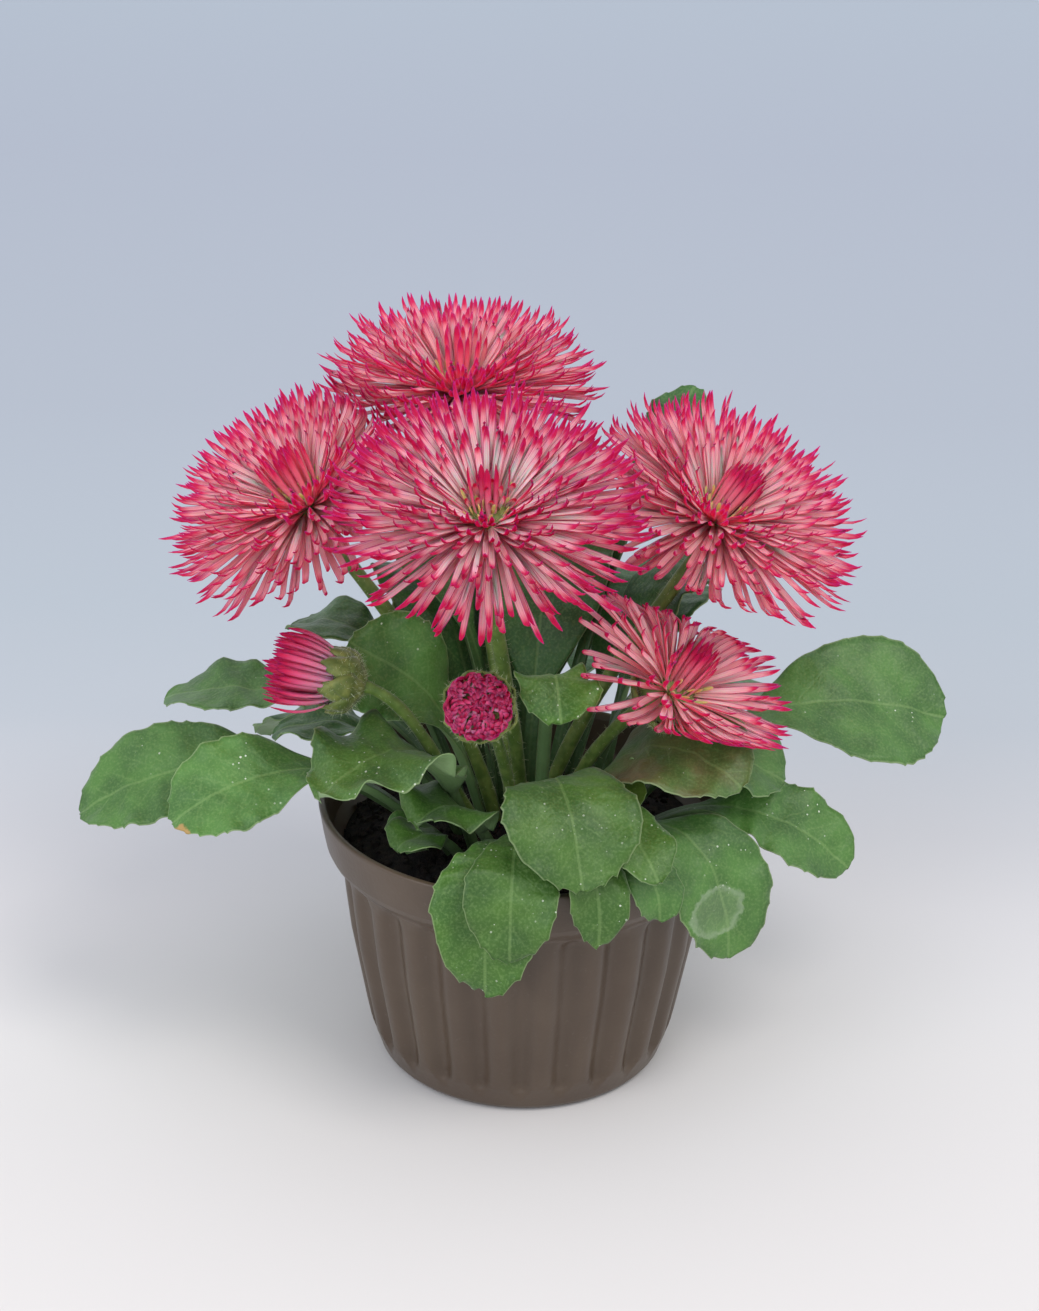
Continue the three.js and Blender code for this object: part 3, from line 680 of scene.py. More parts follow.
PLASTIC = MouldedPolypropylene("moulded polypropylene, satin")
COMPOST = PeatCompost("peat compost, moist")
LEAF_FRONT = DownyLeaf("downy leaf, fresh green", deep="31571a", fresh="466d24", specks=0.9)
LEAF_SIDE = DownyLeaf("downy leaf, mid green", deep="385f27", fresh="4d7934", specks=0.45)
# Painted shade: the back leaves' darker green stands for the shade of the plant that they grow in.
LEAF_BACK = DownyLeaf("downy leaf, green with painted shade", deep="284f20", fresh="39682d", specks=0.1)
LEAF_FLUSHED = DownyLeaf(
    "downy leaf, flushed red-brown", deep="3c5c26", fresh="4e6c32", specks=0.5, flush=0.6
)
LEAF_STAINED = replace(
    LEAF_SIDE, name="downy leaf, mid green, with a dried lime ring",
    spots=((29.0, -2.5, 4.2, 4.8, "bcc7b0", 0.2), (29.0, -2.5, 0.0, 4.6, "a9b59a", 0.12)),
)
LEAF_NICKED = replace(
    LEAF_SIDE, name="downy leaf, mid green, with a dry tip",
    spots=((38.8, 4.6, 0.0, 2.1, "a8834e", 0.85),),
)
STEM = HairyStem("downy stalk, yellow-green")
BRACT = HairyStem("downy bract, olive", base="56682c", light="828a46")
DOWN = Down("silky plant hairs")
ROSE = Ligule(
    "quilled floret, rose pink",
    inner=(
        (0.0, "e2d88c"), (0.05, "fcae9e"), (0.13, "ffa0a2"), (0.5, "ffbab9"), (0.8, "fa9aa2"),
        (0.9, "c22c56"), (1.0, "960a3c"),
    ),
    outer=((0.0, "f69ca4"), (0.3, "f28894"), (0.68, "e4667e"), (0.87, "ba1c50"), (1.0, "8e0a3a")),
)
PALE = Ligule(
    "quilled floret, pale pink",
    inner=(
        (0.0, "e2e096"), (0.06, "fcbca8"), (0.15, "ffaaaa"), (0.55, "ffc8c6"), (0.76, "f69ca6"),
        (0.86, "b82252"), (1.0, "8c0a38"),
    ),
    outer=((0.0, "f6a8ac"), (0.3, "ec8494"), (0.57, "d85476"), (0.76, "b0164a"), (1.0, "840634")),
)
CRIMSON = Ligule(
    "quilled floret, crimson",
    inner=((0.0, "f8b0be"), (0.4, "f4849e"), (0.65, "e85c84"), (0.85, "c42c5c"), (1.0, "980c40")),
    outer=((0.0, "f094aa"), (0.4, "ea7690"), (0.65, "da5076"), (0.85, "b8244e"), (1.0, "860636")),
)
# Painted shade and highlight: the colour runs from near black at the foot, deep in the button, to pale pink
# at the tip, over the floret's own crimson.
CURLED = Ligule(
    "quilled floret, dark crimson and curled",
    inner=((0.0, "40020f"), (0.35, "a01040"), (0.7, "e85880"), (1.0, "fc9cb4")),
    outer=((0.0, "30000c"), (0.35, "940c36"), (0.7, "ec4c78"), (1.0, "ff9cb0")),
)
# Painted light: the paper lightens towards the front, a painted pool of light round the pot.
PAPER = StudioPaper(
    "background paper, white to blue",
    stops=(
        (0.0, "dedad8"), (0.07, "dad7d6"), (0.12, "d1cfd1"), (0.15, "c5c5c9"), (0.2, "b6bbc2"),
        (0.26, "b0b7bf"), (0.4, "acb2bc"), (0.7, "acb2be"), (1.0, "b0b8c3"),
    ),
    start_at=-0.1,
    end_at=1.2,
)


# The pot and its soil


@dataclass(frozen=True)
class NurseryPot:
    """The round ribbed pot, turned from one profile."""

    ribs: int = 24
    rib_depth: float = 2.1
    sides: int = 480
    drains: int = 5
    drain_radius: float = 2.5
    drain_circle: float = 17.0
    rounding: float = 0.45
    # Edges that bend more than this many degrees stay sharp.
    crisp: float = 50.0
    # Radius, height and reach of the grooves, from the middle of the underside round to that of the floor.
    profile: tuple[tuple[float, float, float], ...] = (
        (0.02, 0.0, 0), (29.9, 0.0, 0), (31.3, 0.7, 0), (32.0, 1.6, 0), (32.5, 3.2, 0), (33.2, 5.2, 0),
        (33.5, 6.0, 0.3), (33.8, 6.8, 0.6), (34.1, 7.8, 0.85), (34.7, 10.5, 1), (36.4, 20, 1),
        (38.2, 30, 1), (39.2, 38.5, 1), (39.8, 44.5, 1), (40.0, 46.2, 0.8), (40.2, 47.4, 0.2),
        (40.6, 48.1, 0), (41.4, 48.9, 0), (42.9, 50.6, 0), (43.5, 51.9, 0), (44.1, 55.0, 0),
        (44.5, 57.8, 0), (44.95, 60.5, 0), (44.95, 61.2, 0), (43.7, 61.25, 0), (43.1, 59.8, 0),
        (41.9, 52.6, 0), (40.2, 50.2, 0), (37.9, 47.6, 0), (31.3, 4.6, 0), (29.9, 2.1, 0), (0.02, 2.0, 0),
    )

    def tree(self) -> bpy.types.NodeTree:
        """Builds the tree that turns the profile, presses in the grooves and cuts the drain holes.

        Returns:
            The tree.
        """
        sizes = {
            "Ribs": "Float", "Rib depth": "Float", "Sides": "Int", "Rounding": "Float", "Drains": "Int",
            "Drain radius": "Float", "Drain circle": "Float", "Material": "Material",
        }
        tree, given = new_tree("pot turned from its profile", sizes)
        add = partial(put, tree)
        line = add("GeometryNodeMeshToCurve", given["Geometry"])
        fillet = {"Curve": line, "Radius": given["Rounding"], "Limit Radius": True, "Count": 3}
        line = add("GeometryNodeFilletCurve", named=fillet, mode="POLY")
        axis = add("GeometryNodeCurvePrimitiveCircle", named={"Resolution": given["Sides"], "Radius": 1e-5})
        shell = add("GeometryNodeCurveToMesh", named={"Curve": axis, "Profile Curve": line})
        shell = add("GeometryNodeMergeByDistance", named={"Geometry": shell, "Distance": 3e-5})
        shell = add("GeometryNodeFlipFaces", shell)
        x, y, _ = add("split", add("GeometryNodeInputPosition")).outputs
        angle = add("arctan2", y, x)
        # Each rib is a full round, and the soft grooves between them take up half of the wall.
        turned = add("cosine", add("multiply", add("multiply", angle, 0.5), given["Ribs"]))
        groove = add("power", add("absolute", turned), 2.6)
        reach = add("mark", "ribbed", data_type="FLOAT")
        groove = add("maximum", 0.0, add("subtract", add("add", groove, reach), 1.0))
        inward = add("multiply", add("multiply", groove, given["Rib depth"]), -1.0)
        push = add("gather", *(add("multiply", inward, add(share, angle)) for share in ("cosine", "sine")))
        shell = add("GeometryNodeSetPosition", named={"Geometry": shell, "Offset": push})
        ring = {"Resolution": given["Drains"], "Radius": given["Drain circle"]}
        ring = add("GeometryNodeCurvePrimitiveCircle", named=ring)
        between = {"Geometry": ring, "Rotation": (0, 0, math.pi / self.drains)}
        spots = add("GeometryNodeTransform", named=between)
        drill = {"Vertices": 24, "Radius": given["Drain radius"], "Depth": 0.012}
        drill = add("GeometryNodeMeshCylinder", named=drill, fill_type="NGON")
        drills = add("GeometryNodeInstanceOnPoints", named={"Points": spots, "Instance": drill})
        drills = add("GeometryNodeRealizeInstances", drills)
        both = {"Mesh 1": shell, "Mesh 2": drills}
        cut = add("GeometryNodeMeshBoolean", named=both, operation="DIFFERENCE", solver="EXACT")
        bend = add("GeometryNodeInputMeshEdgeAngle")
        crisp = add("FunctionNodeCompare", bend, self.crisp * DEGREE, operation="GREATER_THAN")
        flat = {"Geometry": cut, "Selection": crisp, "Shade Smooth": False}
        flat = add("GeometryNodeSetShadeSmooth", named=flat, domain="EDGE")
        whole = add("GeometryNodeRealizeInstances", flat)
        dressed = add("GeometryNodeSetMaterial", named={"Geometry": whole, "Material": given["Material"]})
        add("NodeGroupOutput", dressed)
        return tree

    def build(self) -> None:
        """Builds the pot."""
        radius, height, reach = np.array(self.profile).T
        line = np.stack([radius, -height, 0 * height], -1)
        pot = grow(
            "nursery_pot", strands("pot profile", [line], ribbed=[reach]), self.tree(), Ribs=float(self.ribs),
            Rib_depth=self.rib_depth * MM, Sides=self.sides, Rounding=self.rounding * MM, Drains=self.drains,
            Drain_radius=self.drain_radius * MM, Drain_circle=self.drain_circle * MM,
            Material=PLASTIC.material(),
        )
        settle(pot, Slot.POT, "pot")


@dataclass(frozen=True)
class Compost:
    """The soil: an uneven top strewn with crumbs, over a plug that fills the pot."""

    rings: int = 44
    sides: int = 120
    # Radius and height of the plug, from its underside up to the edge of its top.
    plug: tuple[tuple[float, float], ...] = ((28.4, 2.6), (30.5, 5.4), (36.7, 47.0), (39.6, 50.0))
    bump: float = 0.9
    hills: int = 14
    edge_sink: float = 1.2
    crumb: float = 0.75
    crumbs_per_cm2: float = 22.0
    # How far a crumb's surface is pushed about, in millimetres, and the scale of the noise that pushes it.
    crumb_dents: float = 1.4
    dent_scale: float = 1300.0
    seed: int = 5

    def ground(self) -> bpy.types.Mesh:
        """Builds the soil's closed body.

        Returns:
            Its mesh, with the top marked for crumbs.
        """
        rng = np.random.default_rng(self.seed)
        # Pitch, way and lag of each swell.
        spans = ((0.1, 0.64), (0, TURN), (0, 6))
        ways = [[rng.uniform(*span) for span in spans] for _ in range(self.hills)]
        corners = [np.array([0.0, 0.0, self.plug[0][1]])]
        rows = []
        top = [(radius, SOIL_TOP) for radius in np.linspace(38.6, 1.0, self.rings)]
        for radius, height in (*self.plug, *top):
            rows.append(len(corners))
            for k in range(self.sides):
                x, y, _ = on_bearing(radius, 360 * k / self.sides, 0)
                rise = 0.0
                if height == SOIL_TOP:
                    for pitch, way, lag in ways:
                        rise += math.sin(pitch * (x * math.cos(way) + y * math.sin(way)) + lag)
                    rise = rise * self.bump / 6 - self.edge_sink * float(smooth(radius, 30, 39))
                corners.append(np.array([x, y, height + rise]))
        corners.append(np.array([0.0, 0.0, SOIL_TOP]))
        faces = []
        for k in range(self.sides):
            following = (k + 1) % self.sides
            faces.append((0, rows[0] + following, rows[0] + k))
            for low, high in zip(rows, rows[1:]):
                faces.append((low + k, low + following, high + following, high + k))
            faces.append((rows[-1] + k, rows[-1] + following, len(corners) - 1))
        mesh = mesh_from("compost", np.array(corners), faces)
        note(mesh, "strewn", np.array([1.0 if corner[2] > SOIL_TOP - 3 else 0.0 for corner in corners]))
        return mesh

    def tree(self) -> bpy.types.NodeTree:
        """Builds the tree that strews the marked faces with crumbs.

        Returns:
            The tree.
        """
        sizes = {"Density": "Float", "Crumb": "Float", "Seed": "Int", "Material": "Material"}
        tree, given = new_tree("crumbs strewn on soil", sizes)
        add = partial(put, tree)
        _, _, facing = add("split", add("GeometryNodeInputNormal")).outputs
        strewn = add("mark", "strewn", data_type="FLOAT")
        where = add("less_than", 0.3, add("multiply", strewn, facing))
        seeding = {key: given[key] for key in ("Density", "Seed")}
        strew = {"Mesh": given["Geometry"], "Selection": where, **seeding}
        points = add("GeometryNodeDistributePointsOnFaces", named=strew)
        ball = add("GeometryNodeMeshIcoSphere", given["Crumb"], 2)
        size = add("give", 0.35, 1.5, named={"Seed": 3}, data_type="FLOAT")
        turn = add("give", (0, 0, 0), (6, 6, 6), named={"Seed": 8}, data_type="FLOAT_VECTOR")
        balls = {"Points": points, "Instance": ball, "Rotation": turn, "Scale": size}
        balls = add("GeometryNodeRealizeInstances", add("GeometryNodeInstanceOnPoints", named=balls))
        rough = add("noise", None, self.dent_scale, 1.0).outputs["Color"]
        away = add("vector", rough, (0.5,) * 3, operation="SUBTRACT")
        shove = add("vector", away, self.crumb_dents * MM, operation="SCALE")
        balls = add("GeometryNodeSetPosition", named={"Geometry": balls, "Offset": shove})
        both = add("GeometryNodeJoinGeometry", given["Geometry"])
        tree.links.new(balls.outputs[0], both.inputs[0])
        whole = add("GeometryNodeRealizeInstances", both)
        dressed = add("GeometryNodeSetMaterial", named={"Geometry": whole, "Material": given["Material"]})
        add("NodeGroupOutput", dressed)
        return tree

    def build(self) -> None:
        """Builds the soil."""
        soil = grow(
            "compost", self.ground(), self.tree(), Density=self.crumbs_per_cm2 * 1e4, Crumb=self.crumb * MM,
            Seed=self.seed, Material=COMPOST.material(),
        )
        settle(soil, Slot.SOIL, "soil")


# Leaves


class LeafKind(Enum):
    """The groups of leaves, by where they stand and how bright they are; the back ones carry painted shade.
    """

    FRONT = (LEAF_FRONT, Slot.LEAF_FRONT)
    SIDE = (LEAF_SIDE, Slot.LEAF_SIDE)
    BACK = (LEAF_BACK, Slot.LEAF_BACK)
    FLUSHED = (LEAF_FLUSHED, Slot.LEAF_FRONT)
    STAINED = (LEAF_STAINED, Slot.LEAF_SIDE)
    NICKED = (LEAF_NICKED, Slot.LEAF_SIDE)


# Outline of one side of a blade: factors on its half width at shares of its length.
Outline = tuple[tuple[float, float], ...]
PLAIN: Outline = ((0.0, 1.0),)
BROAD: Outline = ((0.0, 1.9), (0.2, 1.6), (0.5, 1.15), (0.7, 1.0))
EGG: Outline = ((0.0, 1.2), (0.3, 1.0), (0.5, 0.94), (0.7, 1.0), (1.0, 1.05))
HEM: Outline = ((0.0, 2.4), (0.2, 2.0), (0.5, 1.35), (0.75, 1.0))


@dataclass(frozen=True)
class Leaf:
    """One leaf, from its foot in the soil to its tip: root and tip are distance, bearing and height."""

    name: str
    root: tuple[float, float]
    tip: tuple[float, float, float]
    rise: float = 30.0
    crest: float = 12.0
    far: float = 0.68
    stem: float = 0.4
    half: float = 12.0
    roll: float = 0.0
    cup: float = 0.1
    wave: float = 0.8
    waves: float = 1.5
    kind: LeafKind = LeafKind.SIDE
    # Outline of the left side and of the right one, or one for both.
    sides: tuple[Outline, ...] = (PLAIN,)
    # Brightness, and how yellow it has turned.
    tone: float = 1.0
    warmth: float = 0.0
    tooth: float = 0.5
    tooth_pitch: float = 4.0
    pucker: float = 0.5
    # How far the outline swings in and out, as a share, and how high the edge is ruffled.
    lobes: float = 0.02
    ruffle: float = 0.6
    ruffle_pitch: float = 10.0
    petiole_rows: int = 16
    blade_rows: int = 84
    columns: int = 16
    petiole_half: float = 1.45
    near: float = 0.3
    # How far towards the tip the blade is broadest, and how round its tip is.
    skew: float = 1.6
    bluntness: float = 0.54
    # Length of the petiole in the blade's own measure, and wave lengths of the puckers.
    petiole_length: float = 20.0
    pucker_pitches: tuple[float, ...] = (7.0, 11.0, 4.5)
    # Thickness at the edge, and how much more there is in the middle.
    petiole_thickness: tuple[float, float] = (0.35, 1.65)
    blade_thickness: tuple[float, float] = (0.28, 0.42)
    rib_height: float = 0.7
    groove_depth: float = 0.3

    def curve(self) -> Bezier:
        """Lays out the midrib, the same as the CAD solid's.

        Returns:
            Its curve.
        """
        foot = on_bearing(*self.root, STEM_FOOT)
        end = on_bearing(*self.tip)
        near = lerp(foot, end, self.near) * (1, 1, 0) + UP * (SOIL_TOP + self.rise)
        far = lerp(foot, end, self.far) * (1, 1, 0) + UP * (end[2] + self.crest)
        return Bezier(np.array([foot, near, far, end]))

    def half_width(self, share: np.ndarray, side: int) -> np.ndarray:
        """Finds how wide one side of the leaf is.

        Args:
            share: shares of the blade, from 0 to 1.
            side: 1 for the left side and -1 for the right.

        Returns:
            The half width at each share, in millimetres.
        """
        skewed = np.clip(share, 0, 1) ** self.skew
        bulge = np.clip(np.sin(math.pi * skewed), 0, 1) ** self.bluntness
        shares, factors = np.array(self.sides[0 if side > 0 else -1]).T
        factor = np.interp(share, shares, factors)
        neck = self.petiole_half * (1 - smooth(share, 0.75, 1.0))
        lag = self.root[1] + side * 1.1
        lobes = np.sin(share * 13.0 + lag) * 0.6 + np.sin(share * 23.0 + 2.3 * lag) * 0.4
        factor = factor * (1 + self.lobes * lobes * smooth(share, 0.15, 0.5))
        return np.hypot(self.half * bulge * factor, neck)

    def outline(self, side: int, length: float, salt: int) -> np.ndarray:
        """Lays out one toothed edge of the flat blade.

        Args:
            side: 1 for the left edge and -1 for the right.
            length: the blade's length, in millimetres.
            salt: number that sets this edge's own scatter.

        Returns:
            Distance along and across for each row, evenly spaced along the edge.
        """
        share = np.linspace(0, 1, 900) ** 0.8
        along = share * length
        across = self.half_width(share, side)
        steps = np.concatenate([[0], np.cumsum(np.hypot(np.diff(along), np.diff(across)))])
        even = np.linspace(0, steps[-1], self.blade_rows + 1)
        along = np.interp(even, steps, along)
        across = np.interp(even, steps, across)
        direction = unit(np.stack([np.gradient(along), np.gradient(across)], -1))
        # Each tooth is a low scallop that ends in a small point, turned towards the tip.
        drift = 1.6 * np.sin(even / 9.7 + salt) + 0.8 * np.sin(even / 4.1 + 2 * salt) + scatter(salt, 4)
        phase = (even + drift) / self.tooth_pitch % 1
        point = np.where(phase < 0.8, phase / 0.8, (1 - phase) / 0.2) ** 2.6
        here = smooth(even / steps[-1], 0.28, 0.5) * (0.5 + 0.9 * np.sin(even / 6.3 + salt) ** 2)
        out = self.tooth * (point - 0.35) * here * min(1.0, self.half / 9)
        return np.stack([along - direction[:, 1] * out, (across + direction[:, 0] * out) * side], -1)

    def grid(self, length: float, salt: int) -> tuple[np.ndarray, ...]:
        """Lays out the corners of the flat leaf, row by row, the petiole's first and at negative distances.

        Args:
            length: the blade's length, in millimetres.
            salt: number that sets the edges' own scatter.

        Returns:
            Share of the curve and of the blade, distance along and across, and place between the edges, from
            1 on the left to -1, of every corner.
        """
        place = np.linspace(1, -1, self.columns + 1)
        middle = np.linspace(0, length, self.blade_rows + 1)
        left, right = self.outline(1, length, salt), self.outline(-1, length, salt + 40)
        edges = np.where(place[None, :, None] > 0, left[:, None, :], right[:, None, :])
        spine = np.stack([middle, np.zeros_like(middle)], -1)[:, None, :]
        flat = spine + (edges - spine) * np.abs(place)[None, :, None]
        reach = np.linspace(0, 1, self.petiole_rows, endpoint=False)
        stem_share = np.repeat((reach * self.stem)[:, None], self.columns + 1, 1)
        stem_across = np.repeat(place[None, :] * self.petiole_half, self.petiole_rows, 0)
        blade_share = flat[..., 0] / length
        share = np.concatenate([stem_share, self.stem + (1 - self.stem) * blade_share])
        on_blade = np.concatenate([np.zeros_like(stem_share), blade_share])
        along = np.concatenate([(stem_share / self.stem - 1) * self.petiole_length, flat[..., 0]])
        across = np.concatenate([stem_across, flat[..., 1]])
        return np.clip(share, 0, 1.03), on_blade, along, across, np.repeat(place[None, :], len(along), 0)

    def relief(
        self, length: float, salt: int, on_blade: np.ndarray, along: np.ndarray, across: np.ndarray,
        place: np.ndarray,
    ) -> np.ndarray:
        """Returns how high the upper side stands over the flat leaf.

        Args:
            length: the blade's length, in millimetres.
            salt: number that sets the leaf's own scatter.
            on_blade, along, across, place: the corners' places, as grid gives them.

        Returns:
            The height of every corner, in millimetres.
        """
        edge = np.abs(place)
        settled = smooth(on_blade, 0, 0.35)
        middle = np.linspace(0, length, self.blade_rows + 1)
        half = [np.full(self.petiole_rows, self.petiole_half), self.half_width(middle / length, 1)]
        ripple = self.wave * np.sin(TURN * self.waves * on_blade + np.where(place > 0, 0.0, 2.2))
        height = settled * edge**1.25 * (self.cup * np.concatenate(half)[:, None] + ripple)
        rng = np.random.default_rng(salt)
        for pitch in self.pucker_pitches:
            way = rng.uniform(0, TURN)
            lean = rng.uniform(0, 6)
            run = (along * math.cos(way) + across * math.sin(way)) / pitch
            height = height + settled * self.pucker * 0.5 * np.sin(TURN * run + lean) * (pitch / 11)
        swing = along / self.ruffle_pitch + 0.35 * np.sin(along / 7.0 + salt)
        frill = np.sin(TURN * swing + np.where(place > 0, 0.0, 2.6) + salt)
        height = height + settled * edge**3 * self.ruffle * frill
        groove = np.exp(-((across / 0.55) ** 2)) * (1 - smooth(on_blade, 0.3, 0.85))
        return height - self.groove_depth * groove * settled

    def thickness(self, on_blade: np.ndarray, across: np.ndarray, edge: np.ndarray) -> np.ndarray:
        """Finds how thick the leaf is.

        Args:
            on_blade: shares of the blade.
            across: distances from the midrib, in millimetres.
            edge: how near the edge is, from 0 to 1.

        Returns:
            The thickness at each place, in millimetres.
        """
        settled = smooth(on_blade, 0, 0.35)
        stem_edge, stem_more = self.petiole_thickness
        blade_edge, blade_more = self.blade_thickness
        petiole = stem_edge + stem_more * np.sqrt(np.clip(1 - edge**2, 0, 1))
        rib = self.rib_height * np.exp(-((across / 0.9) ** 2)) * (1 - smooth(on_blade, 0.2, 0.95))
        return lerp(petiole, blade_edge + blade_more * (1 - edge**3), settled) + rib * settled

    def build(self, salt: int) -> None:
        """Builds the leaf.

        Args:
            salt: number that sets its own scatter.
        """
        curve = self.curve()
        level = curve.level()
        steps = np.diff(curve.at(np.linspace(self.stem, 1, 200)), axis=0)
        length = float(np.sum(np.linalg.norm(steps, axis=1)))
        share, on_blade, along, across, place = self.grid(length, salt)
        # The blade's own frame at every corner.
        tangent = curve.along(share)
        normal = unit(np.cross(tangent, level))
        turn = (self.roll * DEGREE * smooth(on_blade, 0, 0.5))[..., None]
        side = level * np.cos(turn) + normal * np.sin(turn)
        lift = unit(np.cross(tangent, side))
        height = self.relief(length, salt, on_blade, along, across, place)
        top = curve.at(share) + side * across[..., None] + lift * height[..., None]
        edge = np.abs(place)
        bottom = top - lift * self.thickness(on_blade, across, edge)[..., None]
        corners = np.concatenate([top.reshape(-1, 3), bottom.reshape(-1, 3)])
        mesh = mesh_from(self.name, corners, skin(len(along), self.columns + 1))
        note(mesh, "blade", np.tile(np.stack([along, across, edge], -1).reshape(-1, 3), (2, 1)))
        upper = np.repeat([1.0, 0.0], len(corners) // 2)
        look = [np.full(len(corners), self.tone), np.full(len(corners), self.warmth), upper]
        note(mesh, "look", np.stack(look, -1))
        finish, slot = self.kind.value
        mesh.materials.append(finish.material())
        settle(show(self.name + "_blade", mesh), slot, self.name)


FRONT, _, BACK, FLUSHED, STAINED, NICKED = LeafKind
LEAVES = (
    Leaf("leaf_left_long", (17.5, -178), (97, -177, 57), rise=24, crest=18, roll=-30),
    Leaf("leaf_left_front", (17.5, -160), (78, -161, 66), rise=28, crest=14, half=11, roll=-32, tone=1.2,
         kind=NICKED),
    Leaf("leaf_left_small", (17.5, -143), (33, -146, 57), rise=12, crest=5, half=5.5, roll=-20),
    Leaf("leaf_front_lobe", (17.5, -127), (39, -133, 62), rise=11, crest=5, half=7, wave=1.4, kind=FRONT),
    Leaf("leaf_front_fold", (17.5, -111), (49, -99, 40), rise=22, crest=38, far=1.1, half=11, tone=1.2,
         lobes=0.05, ruffle=0.9, kind=FRONT),
    Leaf("leaf_front_round", (17.5, -94), (52, -93, 50), rise=28, crest=26, far=1.02, half=9.5, tone=0.96,
         kind=FRONT),
    Leaf("leaf_front_bright", (17.5, -77), (50, -72, 51), rise=22, crest=27, far=1.04, half=6.5, kind=FRONT),
    Leaf("leaf_right_lobe", (17.5, -60), (50, -56, 54), rise=18, crest=15, far=1.02, half=6.5),
    Leaf("leaf_right_front", (17.5, -43), (54, -37, 40), rise=22, crest=34, far=0.98, roll=22, kind=STAINED),
    Leaf("leaf_right_low", (17.5, -25), (71, -9, 50), rise=18, crest=18, half=10, roll=30),
    Leaf("leaf_right_oval", (17.5, 10), (95, 11.5, 72), rise=33, crest=10, half=16, roll=38, ruffle=0.3),
    Leaf("leaf_back_right", (17.5, 30), (76, 34, 60), crest=18, kind=BACK),
    Leaf("leaf_back_middle", (17.5, 72), (78, 74, 58), crest=18, kind=BACK),
    Leaf("leaf_back_left", (17.5, 112), (80, 114, 62), crest=16, kind=BACK),
    Leaf("leaf_back_low", (17.5, 140), (76, 143, 52), rise=26, crest=20, half=11, kind=BACK),
    Leaf("leaf_left_upper", (17.5, 163), (84, 165, 72), crest=10, half=8.5, roll=-12),
    Leaf("leaf_left_dark", (12, -170), (55, 179, 74), rise=28, crest=8, half=9, kind=BACK),
    Leaf("leaf_wavy_left", (12, -144), (57, -137, 80), rise=43, crest=5, stem=0.18, half=12, wave=1.6,
         waves=2.5, ruffle=1.7, lobes=0.1, sides=(HEM, BROAD), kind=FRONT),
    Leaf("leaf_wavy_front", (12, -112), (36, -129, 68), rise=17, crest=6, stem=0.25, half=11, wave=1.4,
         waves=2.5, ruffle=1.8, lobes=0.12, sides=(BROAD,), kind=FRONT),
    Leaf("leaf_centre_big", (12, -87), (52, -77, 66), rise=36, crest=24, stem=0.3, half=14.5, sides=(EGG,),
         tone=0.92, kind=FRONT),
    Leaf("leaf_centre_fold", (12, -60), (54, -60, 66), rise=26, half=7, kind=FRONT),
    Leaf("leaf_right_wavy", (12, -32), (38, -25, 73), rise=28, crest=8, half=8, wave=1.6, waves=2.5,
         kind=FRONT),
    Leaf("leaf_right_round", (12, -5), (56, -6, 68), rise=26, crest=10, roll=10),
    Leaf("leaf_back_inner", (12, 52), (60, 50, 92), rise=43, crest=8, stem=0.3, half=13, sides=(BROAD,),
         kind=BACK),
    Leaf("leaf_back_high", (12, 92), (58, 92, 98), rise=50, crest=10, stem=0.15, half=17, sides=(BROAD,),
         kind=BACK),
    Leaf("leaf_left_high", (12, 160), (56, 159, 91), rise=44, crest=8, half=9, kind=BACK),
    Leaf("leaf_upright_left", (7, 178), (38, 180, 97), rise=40, crest=-8, stem=0.2, roll=-60, tone=1.36),
    Leaf("leaf_upright_back", (7.5, 118), (42, 130, 112), rise=52, crest=-8, half=10, kind=BACK),
    Leaf("leaf_right_red", (7, -22), (53, -33, 78.5), rise=34.8, crest=8.2, stem=0.15, half=12.6, roll=20,
         sides=(HEM, BROAD), kind=FLUSHED),
    Leaf("leaf_small_bent", (7, -66), (31, -77, 93), rise=56, half=8.6, lobes=0.12, ruffle=1.3, tone=1.3,
         kind=FRONT),
    Leaf("leaf_pale_edge", (8.5, -44), (34, -45, 72), rise=17, crest=3, half=4.4, roll=20, warmth=0.6,
         kind=FRONT),
    Leaf("leaf_inner_left", (12, 132), (47, 129, 99), rise=53, crest=6, stem=0.15, sides=(BROAD,), kind=BACK),
    Leaf("leaf_inner_right", (21.5, 43), (47, 30, 103), rise=58, crest=5, stem=0.2, half=11.5,
         sides=(BROAD,), kind=BACK),
    Leaf("leaf_inner_back", (7.5, 88), (40, 80.5, 112), rise=56, crest=-5, stem=0.2, half=13.5,
         sides=(BROAD,), kind=BACK),
    Leaf("leaf_tall_back", (7.5, 60), (62, 54, 138), rise=60, crest=-20, stem=0.6, half=8, kind=BACK),
    Leaf("leaf_dark_right", (12, 24), (38, 4, 93), rise=42, crest=-6, half=6.5, kind=BACK),
)


# Flower heads


class HeadStyle(Enum):
    """An open head of rose or pale florets, a bud that is a brush, or one that is still a button."""

    OPEN = (ROSE, Slot.BLOOM, "ray")
    PALE = (PALE, Slot.BLOOM, "ray")
    BRUSH = (CRIMSON, Slot.BUD, "bristle")
    BUTTON = (CURLED, Slot.BUD, "curl")


